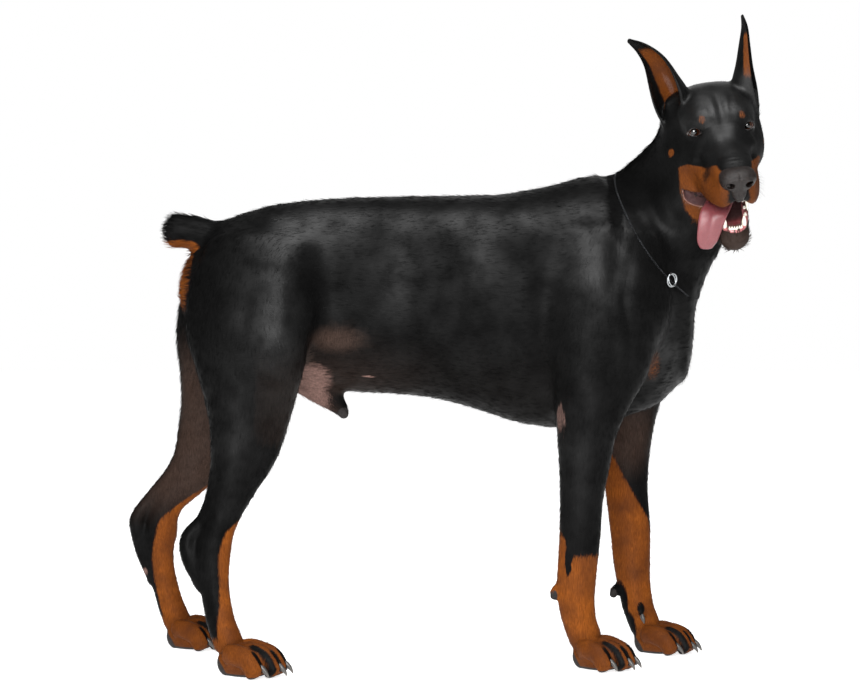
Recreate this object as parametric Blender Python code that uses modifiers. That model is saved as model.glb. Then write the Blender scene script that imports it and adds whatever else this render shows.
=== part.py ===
"""A life-size museum model of a standing doberman pinscher, its head turned to its right.

The animal is blended from tapering sweeps (trunk, neck, limbs, skull, muzzle), with soft swellings,
hollows and creases on them. Their union is remeshed, its vertices are settled on the blended
surface, and the result is thinned and parted into nodes with cuts of CUT. Eyes, nose, ears, teeth,
tongue, claws and chain are pieces of their own, each seated in a socket that clears it by CUT.

Axes: +X to where the dog faces, +Y to its left, +Z up, floor at z = 0. Metres.
"""

import copy
import math

import bpy
import numpy as np
from mathutils import Matrix, Vector

CUT = 0.0003  # gap between neighbouring pieces
SPINE_Z = 0.545  # height of the trunk's axis
EYES = np.array([0.417, -0.118, 0.783])  # point midway between the eyes
HEAD_YAW, HEAD_PITCH, HEAD_ROLL = map(math.radians, (7, 25, 8))
EYE_RADIUS = 0.0115
EYE_AT = (-0.0035, 0.0345, 0.002)  # in the head's frame, left eye
CHAIN_RADIUS, CHAIN_POINTS = 0.0019, 46
CHAIN_PLANE = ((0.338, 0.0, 0.630), (0.75, -0.30, 0.54))  # a point on it and its normal
RING_AT = (0.345, -0.089, 0.5675)
CHAIN_RING = (0.0095, 0.0014)  # ring's radius and wire radius
CLAW_RADIUS = 0.0044
WIDEST_BLEND = 0.048  # a little over the widest rounding between two forms
BODY_VOXEL, HEAD_VOXEL, PAW_VOXEL, NOSE_VOXEL = 0.0045, 0.0022, 0.0026, 0.0011
BODY_FACES, HEAD_FACES, PAW_FACES = 2500, 2500, 260

COAT = (0.012, 0.012, 0.013)
RUST = (0.30, 0.095, 0.025)
CLAW_GREY = (0.045, 0.042, 0.040)
EYE_BROWN = (0.035, 0.016, 0.008)
NOSE_BLACK = (0.018, 0.017, 0.018)
TONGUE_PINK = (0.62, 0.24, 0.26)
TOOTH = (0.78, 0.74, 0.64)
STEEL = (0.62, 0.62, 0.63)


def unit(v):
    """Rows of v at length one."""
    v = np.asarray(v, float)
    return v / np.linalg.norm(v, axis=-1, keepdims=True)


def head_frame():
    """Columns: the head's forward, left and up, from its yaw, pitch and roll."""
    forward = np.array([
        math.sin(HEAD_YAW) * math.cos(HEAD_PITCH),
        -math.cos(HEAD_YAW) * math.cos(HEAD_PITCH),
        -math.sin(HEAD_PITCH),
    ])
    level = np.array([math.cos(HEAD_YAW), math.sin(HEAD_YAW), 0])
    left = level * math.cos(HEAD_ROLL) + np.cross(forward, level) * math.sin(HEAD_ROLL)
    return np.stack([forward, left, np.cross(forward, left)], 1)


AXES = head_frame()


def on_head(rows):
    """Stations given in the head's frame, brought to the world; the columns after x, y, z stay."""
    rows = np.array([list(map(float, r)) for r in rows])
    rows[:, :3] = rows[:, :3] @ AXES.T + EYES
    return rows


def through(points, per_gap=8):
    """A Catmull-Rom curve through rows of numbers, per_gap steps between two of them."""
    p = np.asarray(points, float)
    p = np.vstack([2 * p[0] - p[1], p, 2 * p[-1] - p[-2]])
    t = np.linspace(0, 1, per_gap, endpoint=False)[:, None]
    rows = []
    for a, b, c, d in zip(p[:-3], p[1:-2], p[2:-1], p[3:]):
        cubic = (3 * b - a - 3 * c + d) * t**3
        rows.append(0.5 * (2 * b + (c - a) * t + (2 * a - 5 * b + 4 * c - d) * t**2 + cubic))
    return np.vstack(rows + [p[-2:-1]])


def smooth_min(a, b, k):
    """The smaller of two fields, rounded where they differ by less than k."""
    h = np.clip(k - np.abs(a - b), 0, None) / k
    return np.minimum(a, b) - h * h * k / 4


class Sweep:
    """A tapering tube with superelliptic sections along a curve.

    A station is x, y, z, half width, half depth and, where it differs, half depth on the other side.
    Near a point, the field is r (1 - 1/k): r is the distance from the axis, and k the factor by
    which the section there would have to grow to reach the point. Ends are half ellipsoids.
    """

    def __init__(self, stations, side=(0, 1, 0), side_end=None, power=2.0, blend=0.01, cap=(0.8, 0.8)):
        rows = through([list(r) + [r[4]] * (6 - len(r)) for r in stations])
        self.p = rows[:, :3]
        self.w, self.up, self.down = np.maximum(rows[:, 3:6], 1e-4).T
        t = unit(np.gradient(self.p, axis=0))
        m = np.linspace(0, 1, len(t))[:, None]
        s = np.asarray(side, float) * (1 - m) + np.asarray(side if side_end is None else side_end, float) * m
        s = unit(s - (s * t).sum(1, keepdims=True) * t)
        self.t, self.s, self.n = t, s, np.cross(t, s)
        steps = np.linalg.norm(np.diff(self.p, axis=0), axis=1)
        self.length = np.concatenate([[0], np.cumsum(steps)])
        self.power, self.blend = power, blend
        self.cap = (cap[0] * min(self.w[0], self.up[0]), cap[1] * min(self.w[-1], self.up[-1]))
        self.box(max(self.w.max(), self.up.max(), self.down.max()) + WIDEST_BLEND)

    def box(self, reach):
        self.lo, self.hi = self.p.min(0) - reach, self.p.max(0) + reach

    def local(self, q, sizes):
        """For each point: along the curve, across, up, past the end, and the sizes there."""
        i = np.argmin((self.p**2).sum(1)[None] - 2 * q @ self.p.T, axis=1)
        at = np.clip(self.length[i] + ((q - self.p[i]) * self.t[i]).sum(1), 0, self.length[-1])
        table = np.column_stack([self.p, self.s, self.n, self.t] + sizes)
        part = [np.interp(at, self.length, c) for c in table.T]
        p, s, n, t = (np.stack(part[k : k + 3], 1) for k in (0, 3, 6, 9))
        d = q - p
        x = (d * t).sum(1)
        x = np.where((at > 1e-9) & (at < self.length[-1] - 1e-9), 0.0, x)
        return (d * s).sum(1), (d * n).sum(1), x, part[12:]

    def __call__(self, q):
        u, v, x, (w, up, down) = self.local(q, [self.w, self.up, self.down])
        h = np.where(v > 0, up, down)
        c = np.where(x < 0, self.cap[0], self.cap[1])
        e = self.power
        k = (np.abs(u / w) ** e + np.abs(v / h) ** e) ** (1 / e)
        k = np.sqrt(k**2 + (x / c) ** 2) + 1e-9
        r = np.sqrt(u**2 + v**2 + x**2)
        return np.where(r < 1e-6, -w, r * (1 - 1 / k))

    def only(self, wanted):
        """A shorter copy, for its rings only: the samples of the curve where wanted is true."""
        short = copy.copy(self)
        for name in ("p", "w", "up", "down", "t", "s", "n"):
            setattr(short, name, getattr(self, name)[wanted])
        return short

    def rings(self, around=20):
        """Its surface as rings of points: the sections, closed by three smaller ones at each end."""
        a = np.linspace(0, 2 * math.pi, around, endpoint=False)
        cu, cv = (np.sign(f) * np.abs(f) ** (2 / self.power) for f in (np.cos(a), np.sin(a)))

        def ring(i, scale, shift):
            h = np.where(cv > 0, self.up[i], self.down[i]) * scale
            centre = self.p[i] + self.t[i] * shift
            return centre + np.outer(cu * self.w[i] * scale, self.s[i]) + np.outer(cv * h, self.n[i])

        steps = np.array([0.97, 0.647, 0.323])
        rings = [ring(0, math.sqrt(1 - x * x), -x * self.cap[0]) for x in steps]
        rings += [ring(i, 1, 0) for i in range(1, len(self.p) - 1)]
        rings += [ring(-1, math.sqrt(1 - x * x), x * self.cap[1]) for x in steps[::-1]]
        return np.array(rings)


class Cup(Sweep):
    """A shell curved round a curve, as an ear is: a station is x, y, z, radius, thickness, half angle.

    Its field is the distance from an arc of that radius and half angle, less half the thickness.
    """

    def __init__(self, stations, opening, blend=0.008):
        rows = np.array(stations, float)
        Sweep.__init__(self, rows[:, :5], side=(0, 0, 1), blend=blend)
        self.spread = np.radians(through(rows[:, [5, 5]])[:, 0])
        o = np.asarray(opening, float)
        self.n = unit(o - (self.t @ o)[:, None] * self.t)
        self.s = np.cross(self.n, self.t)
        self.box(self.w.max() + WIDEST_BLEND)

    def __call__(self, q):
        u, v, x, (w, thick, spread) = self.local(q, [self.w, self.up, self.spread])
        ring = np.abs(np.hypot(u, v) - w)
        tip = np.hypot(np.abs(u) - w * np.sin(spread), v + w * np.cos(spread))
        flat = np.where(np.arctan2(np.abs(u), -v) <= spread, ring, tip)
        return np.hypot(flat, x) - thick / 2

    def rings(self, around=20):
        """Rings that run round the outer face and back along the inner one."""
        rings = []
        for i in range(0, len(self.p), 3):
            a = np.linspace(-1, 1, around // 2) * self.spread[i]
            half = self.up[i] / 2
            r = max(self.w[i], half + 0.0006)
            out, back = ((r + half), a), ((r - half), a[::-1])
            ring = [
                self.p[i] + np.outer(np.sin(b) * k, self.s[i]) - np.outer(np.cos(b) * k, self.n[i])
                for k, b in (out, back)
            ]
            rings.append(np.vstack(ring))
        return np.array(rings)


class Bulge:
    """A soft swelling, or a hollow where height is negative: height * exp(-q^2), q in its radii."""

    def __init__(self, centre, radii, height, turn=None):
        self.c, self.r, self.h = np.asarray(centre, float), np.asarray(radii, float), height
        self.turn = np.eye(3) if turn is None else turn
        reach = self.r.max() * 2.3
        self.lo, self.hi = self.c - reach, self.c + reach

    def __call__(self, q):
        d = ((q - self.c) @ self.turn) / self.r
        return self.h * np.exp(-(d**2).sum(1))


class Crease:
    """A groove along a smooth line, or a ridge where depth is negative, fading at both ends."""

    def __init__(self, path, width, depth):
        self.p = through(path, 10)
        self.w, self.d = width, depth
        self.fade = np.sin(np.linspace(0.12, math.pi - 0.12, len(self.p))) ** 0.6
        self.lo, self.hi = self.p.min(0) - 3 * width, self.p.max(0) + 3 * width

    def __call__(self, q):
        i = np.argmin((self.p**2).sum(1)[None] - 2 * q @ self.p.T, axis=1)
        return -self.d * self.fade[i] * np.exp(-((q - self.p[i]) ** 2).sum(1) / self.w**2)


class Field:
    """Forms blended into one, with swellings added, hollows taken out and an optional floor."""

    def __init__(self, forms, swellings=(), hollows=(), floor=None):
        self.forms, self.swellings, self.hollows, self.floor = forms, list(swellings), hollows, floor

    def __call__(self, q):
        out = np.full(len(q), 0.05)

        def near(form):
            return np.nonzero(((q > form.lo) & (q < form.hi)).all(1))[0]

        for form in self.forms:
            i = near(form)
            if len(i):
                out[i] = smooth_min(out[i], form(q[i]), form.blend)
        for form in self.swellings:
            i = near(form)
            if len(i):
                out[i] -= form(q[i])
        for form in self.hollows:
            i = near(form)
            if len(i):
                out[i] = -smooth_min(-out[i], form(q[i]), form.blend)
        if self.floor is not None:
            out = -smooth_min(-out, q[:, 2] - self.floor, 0.0012)
        return out

    def side(self, x, z, way, deep=0.0):
        """The point on the surface at x, z, met when coming from the left (way 1) or right (-1)."""
        y = way * np.linspace(0.20, 0, 401)
        q = np.column_stack([np.full(401, x), y, np.full(401, z)])
        inside = np.nonzero(self(q) < 0)[0]
        return np.array([x, y[inside[0]] - way * deep, z])


def trunk():
    """From the buttocks to the breast; a row is x, topline, underline, half width."""
    rows = [
        (-0.335, 0.610, 0.500, 0.046),
        (-0.305, 0.645, 0.465, 0.070),
        (-0.250, 0.671, 0.440, 0.088),
        (-0.190, 0.681, 0.415, 0.086),
        (-0.120, 0.686, 0.399, 0.081),
        (-0.050, 0.688, 0.395, 0.088),
        (0.010, 0.689, 0.388, 0.098),
        (0.070, 0.690, 0.372, 0.108),
        (0.130, 0.692, 0.353, 0.112),
        (0.190, 0.696, 0.345, 0.110),
        (0.240, 0.700, 0.348, 0.105),
        (0.290, 0.690, 0.362, 0.097),
        (0.335, 0.655, 0.379, 0.083),
        (0.372, 0.600, 0.412, 0.062),
    ]
    rows = [(x, 0, SPINE_Z, w, top - SPINE_Z, SPINE_Z - low) for x, top, low, w in rows]
    return Sweep(rows, power=2.25, cap=(0.75, 0.35))


def neck():
    """From the shoulders to the back of the skull, turning with the head."""
    return Sweep([
        (0.180, 0.000, 0.570, 0.070, 0.112, 0.110),
        (0.260, 0.000, 0.595, 0.076, 0.120, 0.114),
        (0.325, -0.002, 0.638, 0.071, 0.110, 0.108),
        (0.361, -0.012, 0.690, 0.065, 0.093, 0.102),
        (0.380, -0.028, 0.735, 0.060, 0.080, 0.093),
        (0.389, -0.042, 0.778, 0.052, 0.063, 0.064),
    ], side_end=AXES[:, 1], power=2.1, blend=0.045)


def tail():
    """The docked tail's stump."""
    return Sweep([
        (-0.265, 0, 0.622, 0.034, 0.031),
        (-0.310, 0, 0.627, 0.028, 0.024),
        (-0.347, 0, 0.634, 0.023, 0.025),
        (-0.376, 0, 0.637, 0.022, 0.026),
    ], blend=0.022, cap=(0.8, 0.72))


def hind_leg(left):
    """Thigh, shank and metatarsus, with the tendon and point of the hock behind."""
    if left:
        return [Sweep([
            (-0.258, 0.050, 0.595, 0.040, 0.078),
            (-0.279, 0.078, 0.540, 0.043, 0.092),
            (-0.293, 0.090, 0.480, 0.045, 0.092),
            (-0.302, 0.094, 0.420, 0.043, 0.080),
            (-0.318, 0.098, 0.360, 0.038, 0.064),
            (-0.344, 0.102, 0.300, 0.031, 0.047),
            (-0.369, 0.104, 0.262, 0.025, 0.033),
            (-0.394, 0.107, 0.229, 0.021, 0.024),
            (-0.406, 0.110, 0.204, 0.021, 0.023),
            (-0.410, 0.113, 0.180, 0.021, 0.025),
            (-0.413, 0.116, 0.150, 0.018, 0.022),
            (-0.409, 0.118, 0.115, 0.016, 0.0195),
            (-0.399, 0.120, 0.072, 0.017, 0.0195),
            (-0.388, 0.121, 0.042, 0.019, 0.021),
        ], blend=0.040, cap=(0.6, 0.8)), Sweep([
            (-0.350, 0.100, 0.310, 0.012, 0.016),
            (-0.398, 0.103, 0.262, 0.009, 0.011),
            (-0.431, 0.107, 0.225, 0.009, 0.010),
            (-0.4470, 0.110, 0.198, 0.012, 0.012),
            (-0.4440, 0.114, 0.172, 0.012, 0.013),
            (-0.4375, 0.116, 0.143, 0.010, 0.0115),
            (-0.4230, 0.118, 0.105, 0.009, 0.009),
        ], blend=0.012)]
    return [Sweep([
        (-0.250, -0.050, 0.600, 0.040, 0.075),
        (-0.257, -0.080, 0.551, 0.043, 0.091),
        (-0.261, -0.093, 0.500, 0.046, 0.093),
        (-0.260, -0.098, 0.450, 0.045, 0.082),
        (-0.260, -0.101, 0.405, 0.042, 0.070),
        (-0.262, -0.104, 0.362, 0.038, 0.059),
        (-0.268, -0.107, 0.320, 0.033, 0.050),
        (-0.281, -0.110, 0.276, 0.027, 0.036),
        (-0.294, -0.113, 0.238, 0.022, 0.027),
        (-0.304, -0.115, 0.208, 0.021, 0.024),
        (-0.311, -0.118, 0.182, 0.021, 0.026),
        (-0.313, -0.122, 0.153, 0.018, 0.025),
        (-0.309, -0.127, 0.116, 0.016, 0.021),
        (-0.301, -0.132, 0.076, 0.017, 0.0205),
        (-0.290, -0.136, 0.045, 0.019, 0.0215),
    ], blend=0.040, cap=(0.6, 0.8)), Sweep([
        (-0.295, -0.106, 0.330, 0.012, 0.016),
        (-0.308, -0.109, 0.275, 0.009, 0.011),
        (-0.326, -0.112, 0.226, 0.009, 0.009),
        (-0.3480, -0.114, 0.194, 0.012, 0.0125),
        (-0.3465, -0.119, 0.165, 0.012, 0.013),
        (-0.330, -0.124, 0.128, 0.010, 0.010),
    ], blend=0.012)]


def fore_leg(left):
    """Shoulder, upper arm, forearm and pastern, with the carpal pad behind the wrist."""
    if left:
        return [Sweep([
            (0.272, 0.066, 0.610, 0.030, 0.078),
            (0.296, 0.086, 0.530, 0.037, 0.078),
            (0.305, 0.093, 0.460, 0.038, 0.070),
            (0.301, 0.097, 0.400, 0.034, 0.055),
            (0.297, 0.099, 0.340, 0.030, 0.044),
            (0.297, 0.097, 0.280, 0.027, 0.036),
            (0.299, 0.094, 0.240, 0.024, 0.033),
            (0.304, 0.090, 0.185, 0.021, 0.0315),
            (0.306, 0.085, 0.140, 0.021, 0.029),
            (0.309, 0.080, 0.105, 0.021, 0.0255),
            (0.315, 0.075, 0.070, 0.020, 0.0235),
            (0.325, 0.071, 0.042, 0.021, 0.023),
        ], blend=0.035, cap=(0.6, 0.8)), Sweep([
            (0.292, 0.080, 0.100, 0.007, 0.008),
            (0.281, 0.079, 0.093, 0.007, 0.0075),
            (0.2775, 0.0785, 0.086, 0.006, 0.006),
        ], blend=0.006)]
    return [Sweep([
        (0.262, -0.068, 0.620, 0.034, 0.082),
        (0.262, -0.090, 0.540, 0.040, 0.080),
        (0.256, -0.099, 0.465, 0.038, 0.070),
        (0.237, -0.100, 0.400, 0.035, 0.056),
        (0.227, -0.097, 0.350, 0.032, 0.045),
        (0.224, -0.094, 0.304, 0.029, 0.0385),
        (0.220, -0.091, 0.250, 0.025, 0.0325),
        (0.218, -0.089, 0.198, 0.022, 0.0310),
        (0.215, -0.087, 0.157, 0.021, 0.0300),
        (0.213, -0.086, 0.128, 0.021, 0.0290),
        (0.213, -0.085, 0.098, 0.021, 0.0270),
        (0.218, -0.084, 0.068, 0.020, 0.0245),
        (0.226, -0.083, 0.045, 0.021, 0.0240),
    ], blend=0.035, cap=(0.6, 0.8)), Sweep([
        (0.194, -0.084, 0.122, 0.007, 0.008),
        (0.183, -0.084, 0.113, 0.0075, 0.0075),
        (0.1805, -0.084, 0.104, 0.006, 0.006),
    ], blend=0.006)]


class Paw:
    """A cat-like foot: four arched toes over a pad, its x forward, turned about z and scaled."""

    TOES = ((-0.0285, -0.017), (-0.0098, 0.0), (0.0098, 0.0), (0.0285, -0.017))  # across, set back

    def __init__(self, name, x, y, yaw, size):
        self.name, self.at, self.size = name, np.array([x, y, 0]), size
        c, s = math.cos(math.radians(yaw)), math.sin(math.radians(yaw))
        self.turn = np.array([[c, -s, 0], [s, c, 0], [0, 0, 1]])

    def place(self, rows):
        rows = np.array([list(map(float, r)) for r in rows])
        rows[:, :3] = (rows[:, :3] * self.size) @ self.turn.T + self.at
        rows[:, 3:] *= self.size
        return rows

    def forms(self):
        side = self.turn[:, 1]
        pad = Sweep(self.place([
            (-0.026, 0, 0.0165, 0.0195, 0.0180),
            (-0.014, 0, 0.0175, 0.0250, 0.0200),
            (0.000, 0, 0.0180, 0.0285, 0.0205),
            (0.016, 0, 0.0195, 0.0285, 0.0190),
        ]), side=side, blend=0.009)
        toes = [Sweep(self.place([
            (-0.006 + back * 0.6, across * 0.74, 0.0300, 0.0108, 0.0135),
            (0.013 + back, across * 0.95, 0.0310, 0.0114, 0.0138),
            (0.030 + back, across * 1.04, 0.0245, 0.0118, 0.0140),
            (0.0405 + back, across * 1.08, 0.0105, 0.0118, 0.0130),
        ]), side=side, blend=0.0045, cap=(0.8, 0.62)) for across, back in self.TOES]
        return [pad] + toes

    def claws(self):
        """Each claw's stations: x, y, z and radius, from inside the toe to the tip."""
        rows = []
        for across, back in self.TOES:
            x, y = 0.0405 + back, across * 1.08
            path = [(0, 0.0175, 1), (0.007, 0.0172, 1), (0.0125, 0.0138, 0.78), (0.0168, 0.0085, 0.42), (0.0182, 0.005, 0.12)]
            rows.append(self.place([(x + dx, y, z, CLAW_RADIUS * r) for dx, z, r in path]))
        return rows


DEWCLAWS = {"fore_right": (0.219, -0.0615, 1), "fore_left": (0.3175, 0.0525, -1)}  # x, y, and the inner side


def dewclaw_form(name):
    """The nub of the first toe on the inner side of a foreleg."""
    x, y, way = DEWCLAWS[name]
    return Sweep([
        (x - 0.007, y - way * 0.009, 0.072, 0.006, 0.007),
        (x - 0.001, y - way * 0.001, 0.064, 0.0062, 0.007),
        (x + 0.001, y, 0.059, 0.0050, 0.0055),
    ], blend=0.006)


def dewclaw_rows(name):
    """Its claw, pointing down: x, y, z and radius."""
    x, y, way = DEWCLAWS[name]
    path = [(0, -0.001, 0.063, 1), (0.0015, 0.002, 0.058, 1), (0.0035, 0.0045, 0.052, 0.75), (0.005, 0.004, 0.046, 0.15)]
    return np.array([(x + dx, y + way * dy, z, CLAW_RADIUS * 0.9 * r) for dx, dy, z, r in path])


PAWS = [
    Paw("hind_right", -0.261, -0.158, -19, 1.11),
    Paw("hind_left", -0.360, 0.105, -16, 1.07),
    Paw("fore_right", 0.247, -0.096, -30, 1.04),
    Paw("fore_left", 0.349, 0.060, -20, 1.02),
]


def head_sweep(rows, **options):
    return Sweep(on_head(rows), side=AXES[:, 1], **options)


def head_bulge(centre, radii, height):
    return Bulge(on_head([centre])[0], radii, height, AXES)


def both(make):
    """What make(-1) and make(1) give, for the right and the left."""
    return make(-1) + make(1)


def skull():
    """Cranium, muzzle, cheeks, flews and lower jaw, in the head's frame."""
    cranium = head_sweep([
        (-0.108, 0, -0.004, 0.040, 0.026),
        (-0.086, 0, -0.003, 0.056, 0.040),
        (-0.055, 0, -0.002, 0.062, 0.047),
        (-0.015, 0, -0.006, 0.055, 0.043),
        (0.012, 0, -0.014, 0.041, 0.030),
    ], power=2.35, blend=0.028, cap=(0.8, 0.7))
    muzzle = head_sweep([
        (-0.020, 0, -0.030, 0.044, 0.031),
        (0.020, 0, -0.034, 0.038, 0.031),
        (0.055, 0, -0.036, 0.034, 0.030),
        (0.085, 0, -0.037, 0.031, 0.028),
        (0.103, 0, -0.038, 0.027, 0.024),
    ], power=2.6, blend=0.018, cap=(0.6, 0.50))
    jaw = head_sweep([
        (-0.070, 0, -0.072, 0.044, 0.030),
        (-0.020, 0, -0.096, 0.037, 0.024),
        (0.020, 0, -0.1125, 0.031, 0.022),
        (0.050, 0, -0.130, 0.0255, 0.020),
        (0.073, 0, -0.1405, 0.0215, 0.0185),
    ], power=2.4, blend=0.010, cap=(0.8, 0.75))

    def sides(s):
        cheek = head_sweep([
            (-0.090, s * 0.043, -0.030, 0.018, 0.030),
            (-0.055, s * 0.0505, -0.042, 0.020, 0.038),
            (-0.020, s * 0.049, -0.045, 0.017, 0.033),
            (0.012, s * 0.038, -0.050, 0.010, 0.022),
        ], blend=0.020)
        flew = head_sweep([
            (0.004, s * 0.041, -0.058, 0.007, 0.019),
            (0.035, s * 0.0375, -0.062, 0.0070, 0.0190),
            (0.070, s * 0.0315, -0.063, 0.0075, 0.0180),
            (0.096, s * 0.0215, -0.061, 0.0090, 0.0165),
            (0.108, s * 0.0080, -0.054, 0.0080, 0.0110),
        ], blend=0.010)
        return [cheek, flew]

    return [cranium, muzzle, jaw] + both(sides)


def cheek_fillers():
    """Solid flesh between cranium, muzzle and cheek, for the first mesh only."""
    return both(lambda s: [head_sweep([
        (-0.060, s * 0.034, -0.026, 0.018, 0.024),
        (-0.010, s * 0.034, -0.030, 0.016, 0.022),
        (0.018, s * 0.028, -0.036, 0.014, 0.022),
    ])])


def mouth():
    """The open mouth: a slot that widens from the corners forward, and the cavity behind the lips."""
    slot = head_sweep([
        (0.011, 0, -0.0810, 0.060, 0.0034),
        (0.022, 0, -0.0905, 0.060, 0.0080),
        (0.035, 0, -0.0945, 0.060, 0.0115),
        (0.052, 0, -0.0965, 0.060, 0.0155),
        (0.085, 0, -0.1010, 0.060, 0.0220),
        (0.140, 0, -0.1090, 0.060, 0.0300),
    ], power=5, blend=0.004)
    cavity = head_sweep([
        (-0.035, 0, -0.081, 0.018, 0.006),
        (0.000, 0, -0.084, 0.027, 0.013),
        (0.030, 0, -0.089, 0.0275, 0.020),
        (0.060, 0, -0.095, 0.0235, 0.0255),
        (0.090, 0, -0.092, 0.0200, 0.0255),
    ], power=2.6, blend=0.004)
    return [slot, cavity]


def ears():
    """Cropped ears: cups that narrow to a bent tip, the right one leaning out, the left upright."""
    right = on_head([
        (-0.062, -0.046, -0.012, 0.023, 0.0060, 150),
        (-0.058, -0.058, 0.022, 0.0255, 0.0052, 120),
        (-0.054, -0.070, 0.055, 0.0235, 0.0044, 95),
        (-0.051, -0.083, 0.088, 0.0185, 0.0038, 80),
        (-0.049, -0.100, 0.113, 0.0115, 0.0034, 70),
        (-0.050, -0.119, 0.1305, 0.0034, 0.0030, 60),
    ])
    left = on_head([
        (-0.062, 0.046, -0.012, 0.022, 0.0060, 150),
        (-0.062, 0.053, 0.022, 0.0235, 0.0052, 120),
        (-0.063, 0.058, 0.055, 0.0210, 0.0044, 95),
        (-0.066, 0.061, 0.090, 0.0175, 0.0038, 80),
        (-0.069, 0.061, 0.118, 0.0125, 0.0034, 70),
        (-0.070, 0.054, 0.1405, 0.0050, 0.0030, 60),
    ])
    return Cup(right, AXES @ (0.80, -0.60, 0.0)), Cup(left, AXES @ (0.30, 0.95, 0.0))


def eye_line(s):
    """The middle of an eyeball and the way it looks: forward, a little outward."""
    x, y, z = EYE_AT
    look = math.radians(16)
    return np.array([x, s * y, z]), np.array([math.cos(look), s * math.sin(look), 0.05])


def lid_domes():
    """A dome a lid's thickness larger than each eyeball."""
    def dome(s):
        at, look = eye_line(s)
        rows = [(*(at + look * k), EYE_RADIUS + 0.0016, EYE_RADIUS + 0.0016) for k in (-0.004, -0.002, 0.0)]
        return [head_sweep(rows, blend=0.005, cap=(1.0, 1.0))]
    return both(dome)


def lid_openings():
    """The almond between the lids, deep enough to reach the eyeball; its inner corner is the lower."""
    def almond(s):
        at, look = eye_line(s)
        up = np.array([0, 0, 1.0])
        across = np.cross(up, look) + s * 0.16 * up
        rows = [(*(at + look * k), 0.0104, 0.0062, 0.0056) for k in (0.0065, 0.018, 0.030)]
        return [Sweep(on_head(rows), side=AXES @ across, power=1.7, blend=0.0008, cap=(0.1, 0.1))]
    return both(almond)


def ear_roots():
    """The flesh that the ears' cups stand in."""
    def root(s):
        return [head_sweep([
            (-0.060, s * 0.030, -0.020, 0.020, 0.020),
            (-0.066, s * 0.046, 0.004, 0.021, 0.017),
            (-0.068, s * 0.055, 0.024, 0.014, 0.009),
        ], blend=0.014)]
    return both(root)


def sheath():
    """The sheath under the groin and the fold that carries it."""
    return [Sweep([
        (-0.215, 0, 0.432, 0.020, 0.022),
        (-0.180, 0, 0.410, 0.019, 0.021),
        (-0.152, 0, 0.392, 0.0165, 0.019),
        (-0.134, 0, 0.376, 0.0115, 0.013),
        (-0.127, 0, 0.368, 0.0070, 0.008),
    ], blend=0.020)]


def head_swellings():
    """Brows, stop, the hollows beside the eyes, and the furrows of forehead and muzzle."""
    def sides(s):
        x, y, z = EYE_AT[0], s * EYE_AT[1], EYE_AT[2]
        return [
            head_bulge((x + 0.015, y - s * 0.012, z - 0.004), (0.012, 0.008, 0.010), -0.0030),
            head_bulge((x + 0.006, y + s * 0.014, z - 0.006), (0.012, 0.008, 0.010), -0.0022),
            head_bulge((x + 0.006, s * 0.031, z + 0.020), (0.018, 0.015, 0.010), 0.0040),
            head_bulge((0.022, s * 0.041, -0.020), (0.026, 0.012, 0.010), 0.0025),
            head_bulge((0.048, s * 0.034, -0.026), (0.030, 0.010, 0.012), -0.0022),
            head_bulge((-0.020, s * 0.060, -0.005), (0.022, 0.016, 0.022), -0.0035),
            head_bulge((-0.040, s * 0.030, 0.045), (0.040, 0.020, 0.020), 0.0022),
            Crease(on_head([(0.028, s * 0.047, -0.040), (0.060, s * 0.041, -0.048), (0.092, s * 0.029, -0.048)]), 0.006, 0.0014),
        ]

    middle = [
        head_bulge((0.000, 0, 0.034), (0.040, 0.007, 0.020), -0.0032),
        head_bulge((0.022, 0, 0.010), (0.020, 0.016, 0.012), -0.0035),
        head_bulge((0.070, 0, -0.008), (0.034, 0.012, 0.010), 0.0018),
        head_bulge((-0.045, 0, 0.052), (0.030, 0.006, 0.014), 0.0016),
        head_bulge((0.070, 0, -0.160), (0.018, 0.013, 0.010), 0.0035),
    ]
    return middle + both(sides)


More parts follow.
